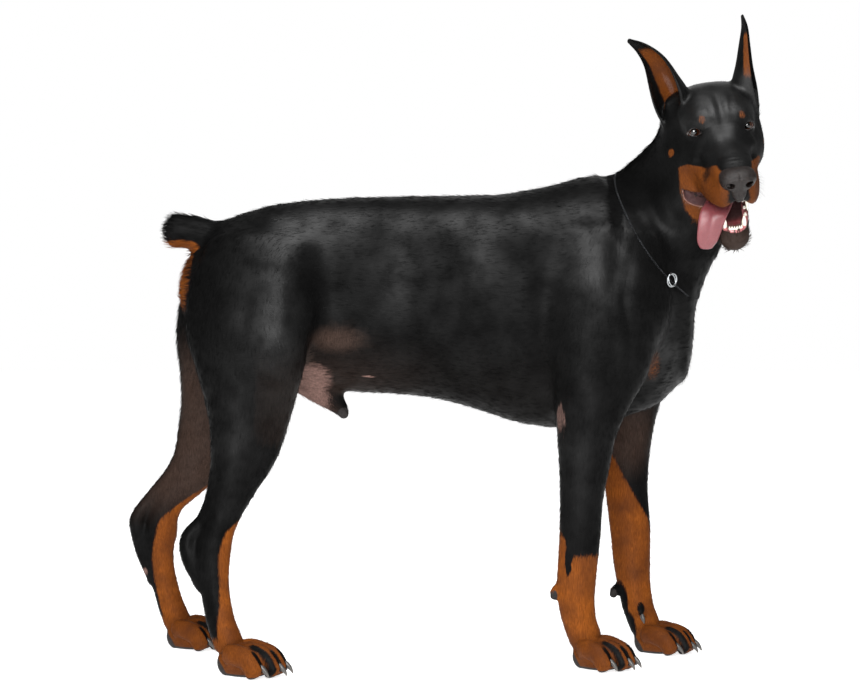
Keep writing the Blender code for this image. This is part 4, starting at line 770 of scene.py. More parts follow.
def body_swellings(field):
    """Muscles, bones under the skin and skin folds, placed on the trunk's and limbs' own surface.

    The left legs stand ahead of the right ones in front and behind them at the rear. What lies on
    a leg moves with it, and what lies near one moves by the share of the shift that its row gives.
    """
    muscles = (  # x, z, the leg and the share of its shift; radii along and up, height
        (0.235, 0.600, "fore", 0.4, 0.030, 0.062, 0.004),
        (0.300, 0.560, "fore", 0.4, 0.024, 0.050, 0.004),
        (0.335, 0.500, "fore", 0.5, 0.030, 0.034, 0.006),
        (0.200, 0.470, "fore", 0.6, 0.032, 0.040, 0.006),
        (0.262, 0.430, "fore", 0.8, 0.020, 0.034, -0.003),
        (0.236, 0.345, "fore", 1.0, 0.020, 0.042, 0.0035),
        (0.178, 0.374, "fore", 1.0, 0.016, 0.016, 0.004),
        (-0.200, 0.600, "hind", 0.5, 0.028, 0.020, 0.004),
        (-0.150, 0.545, "hind", 0.0, 0.030, 0.050, -0.008),
        (-0.285, 0.520, "hind", 1.0, 0.040, 0.060, 0.005),
        (-0.222, 0.450, "hind", 1.0, 0.026, 0.050, 0.006),
        (-0.292, 0.300, "hind", 1.0, 0.018, 0.040, 0.0035),
    )
    folds = (  # x and z along it, the leg and the share of its shift, width, depth
        ([(0.172, 0.585), (0.165, 0.520), (0.160, 0.450), (0.166, 0.400)], "fore", 0.6, 0.018, 0.0040),
        ([(0.268, 0.660), (0.270, 0.600), (0.262, 0.540)], "fore", 0.4, 0.012, 0.0028),
        ([(-0.176, 0.500), (-0.172, 0.455), (-0.178, 0.420)], "hind", 0.0, 0.016, 0.0040),
        ([(-0.250, 0.560), (-0.252, 0.500), (-0.262, 0.430)], "hind", 1.0, 0.012, 0.0022),
        ([(0.318, 0.700), (0.330, 0.650), (0.352, 0.600), (0.368, 0.560)], "fore", 0.0, 0.010, 0.0030),
    )
    out = []
    for way in (-1, 1):
        shift = {"fore": 0.045, "hind": -0.045} if way > 0 else {"fore": 0.0, "hind": 0.0}
        for x, z, leg, share, *sizes in muscles:
            out.append(swelling(field, x + shift[leg] * share, z, way, *sizes))
        for points, leg, share, width, depth in folds:
            moved = [(x + shift[leg] * share, z) for x, z in points]
            out.append(fold(field, moved, way, width, depth))
        for rib in range(5):
            x = 0.125 - 0.036 * rib
            out.append(fold(field, [(x, 0.590), (x - 0.012, 0.520), (x - 0.006, 0.450)], way, 0.008, 0.0011))
    out.append(Bulge((0.385, 0, 0.470), (0.02, 0.016, 0.05), 0.004))
    out.append(Crease([(0.392, 0, 0.545), (0.398, 0, 0.490), (0.392, 0, 0.430)], 0.012, 0.004))
    return out


def nose_field():
    """The nose leather with its two comma-shaped nostrils and the groove between them."""
    pad = head_sweep([
        (0.090, 0, -0.028, 0.0215, 0.0120),
        (0.104, 0, -0.029, 0.0240, 0.0150),
        (0.115, 0, -0.0305, 0.0228, 0.0155),
        (0.1215, 0, -0.0330, 0.0170, 0.0115),
    ], power=2.4, cap=(0.5, 0.35))
    below = head_sweep([
        (0.104, 0, -0.040, 0.012, 0.010),
        (0.114, 0, -0.048, 0.010, 0.008),
        (0.1155, 0, -0.056, 0.006, 0.005),
    ], blend=0.006)

    def nostril(s):
        return [head_sweep([
            (0.104, s * 0.0110, -0.031, 0.0040, 0.0040),
            (0.119, s * 0.0125, -0.0325, 0.0052, 0.0046),
            (0.130, s * 0.0125, -0.0330, 0.0056, 0.0050),
        ], blend=0.0015), head_sweep([
            (0.124, s * 0.0140, -0.0350, 0.0030, 0.0022),
            (0.119, s * 0.0205, -0.0360, 0.0026, 0.0018),
            (0.110, s * 0.0262, -0.0350, 0.0020, 0.0014),
        ], blend=0.0015)]

    def wing(s):
        return [head_bulge((0.119, s * 0.0185, -0.026), (0.008, 0.007, 0.007), 0.0018)]

    groove = Crease(on_head([
        (0.121, 0, -0.018), (0.1265, 0, -0.030), (0.123, 0, -0.044), (0.118, 0, -0.060),
    ]), 0.0020, 0.0020)
    return Field([pad, below], both(wing) + [groove], both(nostril))


def tongue_field():
    """Out over the right lower lip and down, thick in its middle, with a groove along it."""
    body = Sweep(on_head([
        (-0.006, -0.004, -0.0985, 0.0200, 0.0062),
        (0.025, -0.009, -0.0965, 0.0200, 0.0060),
        (0.050, -0.018, -0.0960, 0.0195, 0.0054),
        (0.070, -0.030, -0.1025, 0.0190, 0.0048),
        (0.0785, -0.0375, -0.1200, 0.0175, 0.0040),
        (0.0785, -0.0415, -0.1370, 0.0150, 0.0036),
        (0.0765, -0.0430, -0.1480, 0.0095, 0.0030),
    ]), side=AXES[:, 1], power=2.3, cap=(0.8, 0.8))
    groove = Crease(on_head([
        (0.020, -0.008, -0.0905), (0.050, -0.018, -0.0900), (0.076, -0.031, -0.0990),
        (0.0850, -0.038, -0.120), (0.0840, -0.041, -0.140),
    ]), 0.004, 0.0012)
    return Field([body], [groove])


def lower_teeth_field():
    """A gum arc with six incisors, two canines and the first cheek teeth."""
    arc = [
        (0.020, 0.0225, -0.106), (0.045, 0.0205, -0.1155), (0.064, 0.0165, -0.1225),
        (0.0765, 0.0090, -0.1265), (0.0800, 0.0, -0.1275),
    ]
    arc = arc + [(x, -y, z) for x, y, z in arc[-2::-1]]
    forms = [Sweep(on_head([(*p, 0.0034, 0.0042) for p in arc]), side=(0, 0, 1), blend=0.001)]

    def tooth(x, y, z, wide, tall, lean=0.0):
        forms.append(head_sweep([
            (x, y, z, wide, wide * 0.8),
            (x + lean * 0.5, y * 1.02, z + tall * 0.55, wide * 0.95, wide * 0.7),
            (x + lean, y * 1.04, z + tall, wide * 0.45, wide * 0.35),
        ], blend=0.0008))

    for y in (-0.0085, -0.0052, -0.0018, 0.0018, 0.0052, 0.0085):
        tooth(0.0805 - 30 * y * y, y, -0.1265, 0.0017, 0.0085, 0.002)
    for s in (-1, 1):
        tooth(0.0725, s * 0.0138, -0.1245, 0.0033, 0.0165, 0.001)
        for x, y, z in ((0.055, 0.0190, -0.119), (0.042, 0.0208, -0.1145), (0.029, 0.0220, -0.1095)):
            tooth(x, s * y, z, 0.0028, 0.0075)
    return Field(forms)


def canine_rows(s):
    """An upper canine's x, y, z and radius, root in the palate; the right one stops above the tongue."""
    long = 0.032 if s > 0 else 0.018
    return on_head([
        (0.0790, s * 0.0160, -0.062, 0.0036),
        (0.0815, s * 0.0168, -0.062 - long * 0.35, 0.0038),
        (0.0830, s * 0.0172, -0.062 - long * 0.70, 0.0028),
        (0.0840, s * 0.0172, -0.062 - long, 0.0007),
    ])


def frame_shift():
    """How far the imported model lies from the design's frame, read from the right eye."""
    low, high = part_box("eye_right")
    return np.array((low + high) / 2) - on_head([(EYE_AT[0], -EYE_AT[1], EYE_AT[2])])[0]


SHIFT = frame_shift()


def mesh_of(name, points, triangles):
    """A mesh from arrays of points and triangles."""
    mesh = bpy.data.meshes.new(name)
    mesh.vertices.add(len(points))
    mesh.vertices.foreach_set("co", np.asarray(points, np.float32).ravel())
    count = len(triangles)
    mesh.loops.add(count * 3)
    mesh.loops.foreach_set("vertex_index", np.asarray(triangles, np.int32).ravel())
    mesh.polygons.add(count)
    mesh.polygons.foreach_set("loop_start", np.arange(0, count * 3, 3, dtype=np.int32))
    mesh.update(calc_edges=True)
    return mesh


def add(name, mesh):
    """An object in the scene that shows the mesh."""
    made = bpy.data.objects.new(name, mesh)
    bpy.context.scene.collection.objects.link(made)
    return made


def coordinates(mesh, what="co"):
    """Its vertices' places, or their normals, as rows."""
    values = np.empty(len(mesh.vertices) * 3, np.float32)
    mesh.vertices.foreach_get(what, values)
    return values.reshape(-1, 3).astype(float)


def dress(obj, material, slot, *nodes):
    """A finished piece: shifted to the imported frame, smooth, riding on the body in its nodes' place."""
    obj.data.transform(Matrix.Translation(SHIFT))
    obj.data.materials.clear()
    obj.data.materials.append(material)
    if not obj.data.has_custom_normals:
        obj.data.shade_smooth()
    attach(obj, "root")
    if nodes:
        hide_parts(*nodes)


def give(mesh, name, values):
    """A number for each vertex, kept with the mesh for its material to read."""
    layer = mesh.attributes.new(name, "FLOAT", "POINT")
    layer.data.foreach_set("value", np.asarray(values, np.float32))


def ring_faces(count, size, closed=False):
    """Triangles over count rings of size points, and caps unless the rings close on themselves."""
    i = np.arange(count * size).reshape(count, size)
    if closed:
        i = np.vstack([i, i[:1]])
    j = np.roll(i, -1, 1)
    one = np.stack([i[:-1], j[:-1], j[1:]], -1).reshape(-1, 3)
    other = np.stack([i[:-1], j[1:], i[1:]], -1).reshape(-1, 3)
    faces = [one, other]
    if not closed:
        fan = np.arange(1, size - 1)
        faces.append(np.stack([np.full(size - 2, i[0, 0]), i[0, fan + 1], i[0, fan]], -1))
        faces.append(np.stack([np.full(size - 2, i[-1, 0]), i[-1, fan], i[-1, fan + 1]], -1))
    return np.vstack(faces)


def lofted(name, forms, around=24):
    """One mesh of every form's rings, each skinned and capped."""
    points, faces, start = [], [], 0
    for form in forms:
        rings = form.rings(around)
        count, size, _ = rings.shape
        points.append(rings.reshape(-1, 3))
        faces.append(ring_faces(count, size) + start)
        start += count * size
    return mesh_of(name, np.vstack(points), np.vstack(faces))


def tube(name, path, radius, side, around, closed=False, wide=1.0):
    """Rings of this radius round each point of a path, wide times as wide as deep, joined up."""
    if closed:
        along = unit(np.roll(path, -1, 0) - np.roll(path, 1, 0))
    else:
        along = unit(np.gradient(path, axis=0))
    side = np.asarray(side, float) * np.ones_like(path)
    side = unit(side - (side * along).sum(1, keepdims=True) * along)
    up = np.cross(along, side)
    a = np.linspace(0, ROUND, around, endpoint=False)[None, :, None]
    r = np.broadcast_to(radius, len(path))[:, None, None]
    rings = path[:, None] + r * (wide * np.cos(a) * side[:, None] + np.sin(a) * up[:, None])
    return mesh_of(name, rings.reshape(-1, 3), ring_faces(len(path), around, closed))


def apply(obj):
    """Its modifiers made part of its mesh."""
    graph = bpy.context.evaluated_depsgraph_get()
    mesh = bpy.data.meshes.new_from_object(obj.evaluated_get(graph))
    obj.modifiers.clear()
    obj.data = mesh


def remesh(obj, voxel):
    """One closed surface of even faces, a voxel across, in place of the object's own."""
    modifier = obj.modifiers.new("Remesh", "REMESH")
    modifier.mode = "VOXEL"
    modifier.voxel_size = voxel
    apply(obj)


def cut(obj, form):
    """A hollow taken out of the object: the form's own surface is the knife."""
    knife = add("knife", lofted("knife", [form]))
    modifier = obj.modifiers.new("Difference", "BOOLEAN")
    modifier.operation = "DIFFERENCE"
    modifier.solver = "MANIFOLD"
    modifier.object = knife
    apply(obj)
    bpy.data.objects.remove(knife)


def relax(co, edges, steps):
    """Each point half way to the mean of its neighbours, steps times."""
    degree = np.bincount(edges.ravel(), minlength=len(co))[:, None]
    a, b = edges.T
    for _ in range(steps):
        mean = np.stack([
            np.bincount(a, co[b, c], len(co)) + np.bincount(b, co[a, c], len(co)) for c in range(3)
        ], 1) / degree
        co = (co + mean) / 2
    return co


def settle(mesh, field, rounds, most=0.010):
    """Vertices moved along their normals to the field's zero level, smoothed between rounds.

    A step is the field's value over its slope along the normal, no longer than most.
    """
    probe = 0.8 * MM
    edges = np.empty(len(mesh.edges) * 2, np.int32)
    mesh.edges.foreach_get("vertices", edges)
    edges = edges.reshape(-1, 2)
    place = coordinates(mesh)
    for left in range(rounds, 0, -1):
        out = coordinates(mesh, "normal")
        value = field(place)
        slope = np.clip((field(place + out * probe) - value) / probe, 0.35, 2)
        place = place - out * np.clip(value / slope, -most, most)[:, None]
        if left > 1:
            place = relax(place, edges, 2)
        mesh.vertices.foreach_set("co", place.astype(np.float32).ravel())
        mesh.update()


def thin(obj, faces, weights):
    """Decimated to about this many triangles, fewer of them where weights nears 1."""
    modifier = obj.modifiers.new("Decimate", "DECIMATE")
    modifier.ratio = min(1.0, faces / (len(obj.data.polygons) * 2))
    modifier.use_collapse_triangulate = True
    value = np.round(np.clip(weights(coordinates(obj.data)), 0.1, 1) * 10).astype(int)
    coarse = obj.vertex_groups.new(name="coarse")
    for step in range(11):
        coarse.add(np.nonzero(value == step)[0].tolist(), step / 10, "REPLACE")
    modifier.vertex_group = "coarse"
    modifier.vertex_group_factor = 4e-5  # how much a weight counts against the error of shape
    apply(obj)
    obj.vertex_groups.clear()


def refine(obj, wanted, longest):
    """Edges longer than this halved where wanted, a function of the points, is true."""
    near = wanted(coordinates(obj.data))
    fine = bmesh.new()
    fine.from_mesh(obj.data)
    fine.verts.ensure_lookup_table()
    edges = [
        e for e in fine.edges
        if near[e.verts[0].index] and near[e.verts[1].index] and e.calc_length() > longest
    ]
    bmesh.ops.subdivide_edges(fine, edges=edges, cuts=1, use_grid_fill=True)
    bmesh.ops.triangulate(fine, faces=[f for f in fine.faces if len(f.verts) > 3])
    fine.to_mesh(obj.data)
    fine.free()


def blended(name, forms, field, voxel):
    """The forms' union, remeshed and brought to the field's surface."""
    obj = add(name, lofted(name, forms))
    remesh(obj, voxel)
    settle(obj.data, field, 3)
    remesh(obj, voxel)
    settle(obj.data, field, 3, 0.003)
    return obj


def of_head(q):
    """World points in the head's own frame."""
    return (q - EYES) @ AXES


def on_face(q):
    """True on the head's front part and ears."""
    h = of_head(q)
    ahead = (h[:, 0] > -0.105) & (np.abs(h[:, 1]) < 0.16) & (h[:, 2] > -0.20)
    return ahead & (q[:, 0] > 0.28) & (q[:, 2] > 0.6)


def on_foot(q):
    """True on the feet, up to the pasterns."""
    return q[:, 2] < 0.085


def coat_depth(q):
    """How far the skin lies under the coat's surface: a quarter as deep on face and feet."""
    h = of_head(q)
    face = np.clip(h[:, 0] / 0.06 + 1.3, 0, 1) * fade(q[:, 2], 0.640, 0.040) * (q[:, 0] > 0.28)
    foot = np.clip((0.16 - q[:, 2]) / 0.08, 0, 1)
    return COAT_DEPTH * (1 - 0.75 * np.maximum(face, foot))


def face_folds():
    """Wrinkles over the nose, beside the mouth, under the eyes and on the forehead."""
    eye_x, eye_y, eye_z = EYE_SEEN_AT
    under_eye = (  # forward, outward and up from the eye; width and depth
        ([(0.016, -0.010, -0.008), (0.012, 0, -0.0125), (0, 0.010, -0.010)], 0.0016, 0.0009),
        ([(0.018, -0.010, -0.013), (0.014, 0, -0.0180), (0, 0.011, -0.015)], 0.0020, 0.0008),
    )
    lines = [
        ([(eye_x + x, eye_y + y, eye_z + z) for x, y, z in points], width, depth)
        for points, width, depth in under_eye
    ]
    lines += [
        ([(0.020, 0.047, -0.052), (0.046, 0.042, -0.066), (0.074, 0.036, -0.072)], 0.0030, 0.0009),
        ([(0.050, 0.040, -0.050), (0.074, 0.036, -0.058), (0.096, 0.027, -0.060)], 0.0022, 0.0007),
        ([(0.008, 0.054, -0.062), (0.004, 0.057, -0.080), (0.012, 0.053, -0.098)], 0.0030, 0.0011),
        ([(0.014, 0.013, 0.019), (-0.006, 0.017, 0.036), (-0.030, 0.021, 0.044)], 0.0040, 0.0010),
        ([(-0.052, 0.050, 0.024), (-0.030, 0.056, 0.010), (-0.012, 0.058, -0.006)], 0.0040, 0.0010),
    ]

    def sides(s):
        return [
            Crease(on_head([(x, s * y, z) for x, y, z in points]), width, depth)
            for points, width, depth in lines
        ]

    across = [
        Crease(on_head([(x, -half, z - 0.006), (x + 0.003, 0.002, z), (x, half, z - 0.005)]), 0.0016, 0.0006)
        for x, z, half in ((0.095, -0.0100, 0.014), (0.087, -0.0085, 0.019), (0.072, -0.0070, 0.016))
    ]
    return across + both(sides)


def body_folds(field):
    """The folds, tendons and flat places that show in the coat's gloss: rows are x, z on a side."""
    on_both = (  # along it, width, depth
        ([(0.328, 0.766), (0.333, 0.731), (0.339, 0.694), (0.350, 0.666), (0.362, 0.640)], 0.0090, 0.0011),
        ([(0.311, 0.739), (0.313, 0.710), (0.319, 0.677), (0.344, 0.633), (0.360, 0.591)], 0.0100, 0.0013),
        ([(0.296, 0.681), (0.319, 0.630), (0.339, 0.591)], 0.0100, 0.0010),
        ([(0.250, 0.705), (0.254, 0.660), (0.272, 0.620), (0.292, 0.600)], 0.0080, -0.0014),
        ([(-0.143, 0.591), (-0.156, 0.551), (-0.166, 0.519), (-0.177, 0.478), (-0.184, 0.452)],
         0.0045, -0.0016),
    )
    flats = (  # x, z, radii along and up, height
        (-0.051, 0.572, 0.018, 0.032, 0.0022),
        (0.014, 0.587, 0.026, 0.030, -0.0024),
        (0.070, 0.600, 0.020, 0.030, 0.0016),
        (0.036, 0.479, 0.026, 0.022, 0.0016),
        (-0.188, 0.630, 0.020, 0.022, 0.0020),
    )
    on_right = (
        ([(0.293, 0.614), (0.285, 0.573), (0.278, 0.537), (0.285, 0.494), (0.288, 0.462), (0.277, 0.414)],
         0.0060, 0.0022),
        ([(0.353, 0.514), (0.358, 0.460), (0.342, 0.419), (0.318, 0.393)], 0.0050, -0.0020),
        ([(-0.218, 0.566), (-0.211, 0.509), (-0.206, 0.451)], 0.0110, -0.0018),
        ([(-0.316, 0.254), (-0.306, 0.228), (-0.297, 0.205)], 0.0025, -0.0010),
        ([(0.222, 0.437), (0.233, 0.425), (0.244, 0.415)], 0.0060, 0.0012),
    )
    out = []
    for way in (-1, 1):
        out += [fold(field, points, way, width, depth) for points, width, depth in on_both]
        out += [swelling(field, x, z, way, *sizes) for x, z, *sizes in flats]
    out += [fold(field, points, -1, width, depth) for points, width, depth in on_right]
    out.append(Bulge(field.side(0.328, 0.470, -1), (0.014, 0.02, 0.040), -0.0030))
    out.append(Crease([(0.318, 0.072, 0.220), (0.314, 0.070, 0.189), (0.296, 0.068, 0.141)], 0.0020, 0.0009))
    return out


def coat_forms():
    """Every form of flesh, each with its coat's lie: along its stations (1) or against them (-1)."""
    tip = Sweep([
        (-0.136, 0, 0.372, 0.0075, 0.008),
        (-0.128, 0, 0.3655, 0.0085, 0.0085),
    ], blend=0.003, cap=(1.0, 1.0))
    hairy = [(trunk(), -1), (neck(), -1), (tail(), 1), (sheath()[0], 1), (tip, 1)]
    for left in (False, True):
        hairy += [(form, 1) for form in hind_leg(left) + fore_leg(left)]
    hairy += [(form, -1) for form in skull() + ear_roots()]
    hairy += [(form, 1) for form in ears()]
    for paw in PAWS:
        hairy += [(form, 1) for form in paw.forms()]
    hairy += [(dewclaw_form(name), 1) for name in DEWCLAWS]
    for form, lie in hairy:
        form.lie = lie
    return [form for form, _ in hairy]


def thicker(form, by):
    """An ear's cup with its wall this much thicker; other forms as they are."""
    if not isinstance(form, Cup):
        return form
    made = copy.copy(form)
    made.up = form.up + by
    return made


def skin_field(forms):
    """The coat's outer surface as one field: all flesh, with lids, folds, the mouth and the floor."""
    field = Field(forms + lid_domes(), floor=0.0)
    field.swellings = body_swellings(field) + head_swellings() + body_folds(field) + face_folds()
    field.hollows = mouth() + lid_openings()
    return field


def make_skin(forms, field):
    """The one skin of trunk, limbs, head and ears.

    The remeshing needs walls of two voxels, so the ears start thicker and come to their own
    thickness last.
    """
    def sunk(q):
        return field(q) + coat_depth(q)

    def roomy(q):
        return thick(q) + coat_depth(q)

    def fine(q):
        return on_face(q) | on_foot(q)

    def coarse(q):
        return np.clip(1 - fine(q) - 0.5 * (q[:, 2] < 0.30), 0, 1)

    spare = 3.4 * MM
    thick = copy.copy(field)
    thick.forms = [thicker(form, spare) for form in field.forms]
    hull = [thicker(form, spare) for form in forms] + cheek_fillers() + lid_domes()
    obj = add("coat_skin", lofted("coat_skin", hull))
    remesh(obj, SKIN_VOXEL)
    for form in mouth():
        cut(obj, form)
    remesh(obj, SKIN_VOXEL)
    settle(obj.data, roomy, 3)
    remesh(obj, SKIN_VOXEL)
    settle(obj.data, roomy, 2, 0.004)
    thin(obj, SKIN_FACES, coarse)
    refine(obj, fine, FINE_EDGE)
    settle(obj.data, sunk, 3, 0.003)
    return obj


def fade(value, edge=0.0, soft=0.004):
    """0 well below an edge and 1 well above it, smooth over soft on each side."""
    x = np.clip((value - edge) / (2 * soft) + 0.5, 0, 1)
    return x * x * (3 - 2 * x)


def spot(q, centre, radii, soft=0.3):
    """1 inside an ellipsoid, falling to 0 across a border as wide as soft is of its radii."""
    return 1 - fade(np.linalg.norm((q - centre) / radii, axis=1), 1.0, soft)


def beside(q, leg, side):
    """On a leg: how far ahead of its axis a point is, and how far to the inner side, -1 to 1."""
    p, z = leg.p[::-1], q[:, 2]
    ahead = q[:, 0] - np.interp(z, p[:, 2], p[:, 0])
    inner = (np.interp(z, p[:, 2], p[:, 1]) - q[:, 1]) * side / np.interp(z, p[:, 2], leg.w[::-1])
    near = (np.abs(ahead) < 0.09) & (np.abs(inner) < 2.2) & (z < p[:, 2].max())
    return ahead, inner, near


def leg_marks(q):
    """Rust on the legs: higher on a foreleg's inner side, and a stripe down a hind leg's front.

    A foreleg's border is a height that depends on the distance ahead of the leg's axis, and a hind
    leg's is a distance ahead that depends on the height. Each leg has an outer and an inner one.
    """
    rust, thin_hair = np.zeros(len(q)), np.zeros(len(q))
    z = q[:, 2]
    for side, left in ((-1, False), (1, True)):
        ahead, inner, near = beside(q, fore_leg(left)[0], side)
        outer_edge = np.interp(ahead, [-0.028, -0.020, -0.012, 0.020], [0.199, 0.185, 0.165, 0.166])
        inner_edge = np.interp(ahead, [-0.020, 0.029], [0.298, 0.199])
        edge = outer_edge + (inner_edge - outer_edge) * fade(inner, 0.15, 0.35)
        rust = np.maximum(rust, near * fade(edge - z, 0, 0.014))
        ahead, inner, near = beside(q, hind_leg(left)[0], side)
        outer_edge = np.interp(
            z, [0.054, 0.097, 0.134, 0.168, 0.205, 0.232], [-0.011, 0.004, 0.010, 0.009, 0.013, 0.036],
        )
        inner_edge = np.interp(
            z, [0.028, 0.074, 0.136, 0.198, 0.223, 0.252], [-0.019, -0.014, -0.011, -0.004, 0.017, 0.040],
        )
        edge = outer_edge + (inner_edge - outer_edge) * fade(inner, 0.1, 0.4)
        rust = np.maximum(rust, near * fade(ahead - edge, 0, 0.007) * fade(-z, -0.262, 0.012))
        thigh = fade(z, 0.22, 0.04) * fade(-z, -0.46, 0.05)
        thin_hair = np.maximum(thin_hair, near * fade(inner, 0.2, 0.4) * thigh)
    black_streak = spot(q, (0.200, -0.105, 0.160), (0.005, 0.014, 0.024))  # at the right forearm's rear
    return rust * (1 - black_streak), thin_hair


def paw_marks(q):
    """Where the feet are, how dark the hair is between their toes and behind the claws, and the pads."""
    foot, dark, pad = np.zeros(len(q)), np.zeros(len(q)), np.zeros(len(q))
    for paw in PAWS:
        local = ((q - paw.at) @ paw.turn) / paw.size
        near = (np.abs(local[:, :2]) < 0.07).all(1) & (local[:, 2] < 0.06)
        for across, back in paw.TOES:
            y = local[:, 1] - across * np.interp(local[:, 0] - back, [0.0, 0.04], [0.85, 1.08])
            cuticle = fade(local[:, 0] - back, 0.036, 0.005) * fade(local[:, 2], 0.010, 0.004)
            dark = np.maximum(dark, near * (1 - fade(np.abs(y), 0.0042, 0.0020)) * cuticle)
        for across in (-0.0195, 0.0, 0.0195):
            y = local[:, 1] - across * np.interp(local[:, 0], [0.0, 0.05], [0.8, 1.1])
            groove = fade(local[:, 0], 0.010, 0.008) * (1 - fade(np.abs(y), 0.0026, 0.0022))
            dark = np.maximum(dark, 0.9 * near * groove)
        heel = spot(local, (-0.036, 0, 0.008), (0.016, 0.026, 0.018), 0.15)
        sole = 1 - fade(local[:, 2], 0.0045, 0.0016)
        pad = np.maximum(pad, near * np.maximum(heel, sole))
        foot = np.maximum(foot, near * fade(-local[:, 2], -0.046, 0.010))
    return foot, dark, pad


def head_marks(q):
    """Brow and cheek spots, the rust of the muzzle's sides and jaw, and its dark whisker bed."""
    h = of_head(q)
    x, y, z = h[:, 0], np.abs(h[:, 1]), h[:, 2]
    side = np.column_stack([x, y, z])
    near = on_face(q) & (x > -0.06) & (y < 0.085)
    brow = spot(side, (0.011, 0.029, 0.022), (0.008, 0.0055, 0.007))
    cheek = spot(side, (-0.0165, 0.071, -0.036), (0.007, 0.008, 0.007))
    top = np.interp(
        x, [-0.01, 0.002, 0.014, 0.03, 0.046, 0.060, 0.075, 0.086, 0.10],
        [-0.060, -0.051, -0.043, -0.041, -0.0375, -0.030, -0.0225, -0.017, -0.020],
    )
    rear = np.interp(
        z, [-0.140, -0.125, -0.108, -0.084, -0.066, -0.051], [0.035, 0.030, 0.0215, 0.0126, 0.0072, 0.002],
    )
    under = np.interp(x, [0.0, 0.02, 0.05, 0.08], [-0.116, -0.134, -0.150, -0.162])
    muzzle = fade(z - under, 0, 0.003) * fade(top - z, 0, 0.003) * fade(x - rear, 0, 0.004)
    muzzle = muzzle * fade(y, 0.011, 0.004) * fade(-x, -0.114, 0.004)
    chin = fade(-z, 0.112, 0.006) * fade(x, 0.054, 0.008)
    bed = 0.62 * spot(side, (0.060, 0.035, -0.040), (0.015, 0.014, 0.016), 0.9)
    whisker_skin = spot(side, (0.070, 0.033, -0.062), (0.026, 0.02, 0.018))
    for k in range(4):
        row = z - (-0.052 - 0.0075 * k + 0.10 * (x - 0.07))
        bed = np.maximum(bed, 0.42 * (1 - fade(np.abs(row), 0.0009, 0.0007)) * whisker_skin)
    rust = np.maximum.reduce([0.50 * brow, 0.66 * cheek, 0.86 * muzzle * (1 - chin) * (1 - 0.85 * bed)])
    return rust * near, near * chin


def ear_marks(q):
    """Inside each ear: a rust band toward its front edge, and bare skin low in the cup, lighter in the cup's
    middle as a painted highlight.
    """
    rust, bare = np.zeros(len(q)), np.zeros(len(q))
    for cup, front in zip(ears(), (-1, 1)):
        i = np.nonzero(((q > cup.lo) & (q < cup.hi)).all(1) & (cup(q) < 0.004))[0]
        if not len(i):
            continue
        u, v, _, (w, spread) = cup.local(q[i], [cup.w, cup.spread])
        along = of_head(q[i])[:, 2]
        inside = fade(w - np.hypot(u, v), 0.0004, 0.0008) * fade(v * -1 + w * 0.4, 0, 0.004)
        forward = u / w * front
        band = fade(forward, -0.80, 0.12) * fade(along, 0.006, 0.012) * fade(-along, -0.112, 0.016)
        if front < 0:
            band = band * fade(-forward, -0.72, 0.15)
        rust[i] = inside * band
        # Bare skin in the cup's middle, placed and lightened as a painted highlight.
        middle = fade(-forward, 0.05, 0.20) * fade(forward, -0.50, 0.15)
        bare[i] = 0.48 * inside * middle * fade(along, 0.020, 0.02) * fade(-along, -0.070, 0.02)
        if front > 0:
            edge = fade(np.arctan2(u, -v) / spread, 0.74, 0.10)
            edge = edge * fade(along, 0.055, 0.012) * fade(-along, -0.118, 0.010)
            rust[i] = np.maximum(rust[i], 0.8 * edge)
    return rust, bare


def gloss_places(q, h):
    """How glossy the coat is, 0 to 1: most where it lies tight on brow, shoulder, back and thigh.

    Each patch adds much * exp(-d^2), with d the distance from it in its own half widths, as seen
    from the side.
    """
    patches = (  # x, z, half width, half height, how much
        (0.245, 0.610, 0.045, 0.055, 0.55),
        (0.050, 0.655, 0.240, 0.026, 0.45),
        (-0.190, 0.640, 0.070, 0.035, 0.55),
        (-0.212, 0.520, 0.024, 0.090, 0.70),
        (0.350, 0.450, 0.030, 0.060, 0.50),
        (-0.051, 0.572, 0.020, 0.050, 0.30),
        (0.070, 0.600, 0.022, 0.040, 0.25),
        (0.215, 0.300, 0.018, 0.080, 0.20),
        (-0.285, 0.350, 0.025, 0.080, 0.20),
    )
    gloss = np.full(len(q), 0.13)
    for x, z, wide, tall, much in patches:
        gloss = gloss + much * np.exp(-(np.hypot((q[:, 0] - x) / wide, (q[:, 2] - z) / tall) ** 2))
    throat = fade(-h[:, 2], 0.078, 0.016) * fade(-h[:, 0], 0.0, 0.016)
    behind = np.maximum(throat, fade(-h[:, 0], 0.080, 0.010))
    neck = (q[:, 0] > 0.26) * fade(q[:, 2], 0.625, 0.025) * np.maximum(behind, ~on_face(q))
    gloss = gloss * (1 - 0.9 * neck)
    brow = np.exp(-(((h[:, 0] + 0.02) / 0.05) ** 2 + ((h[:, 2] - 0.035) / 0.030) ** 2))
    away = ((h[:, 0] - 0.06) / 0.05) ** 2 + (h[:, 1] / 0.030) ** 2 + ((h[:, 2] + 0.01) / 0.025) ** 2
    face = on_face(q) * fade(q[:, 2], 0.650, 0.045) * (1 - neck)
    return np.clip(gloss + face * (0.12 + 0.9 * brow + 0.5 * np.exp(-away)), 0, 1)


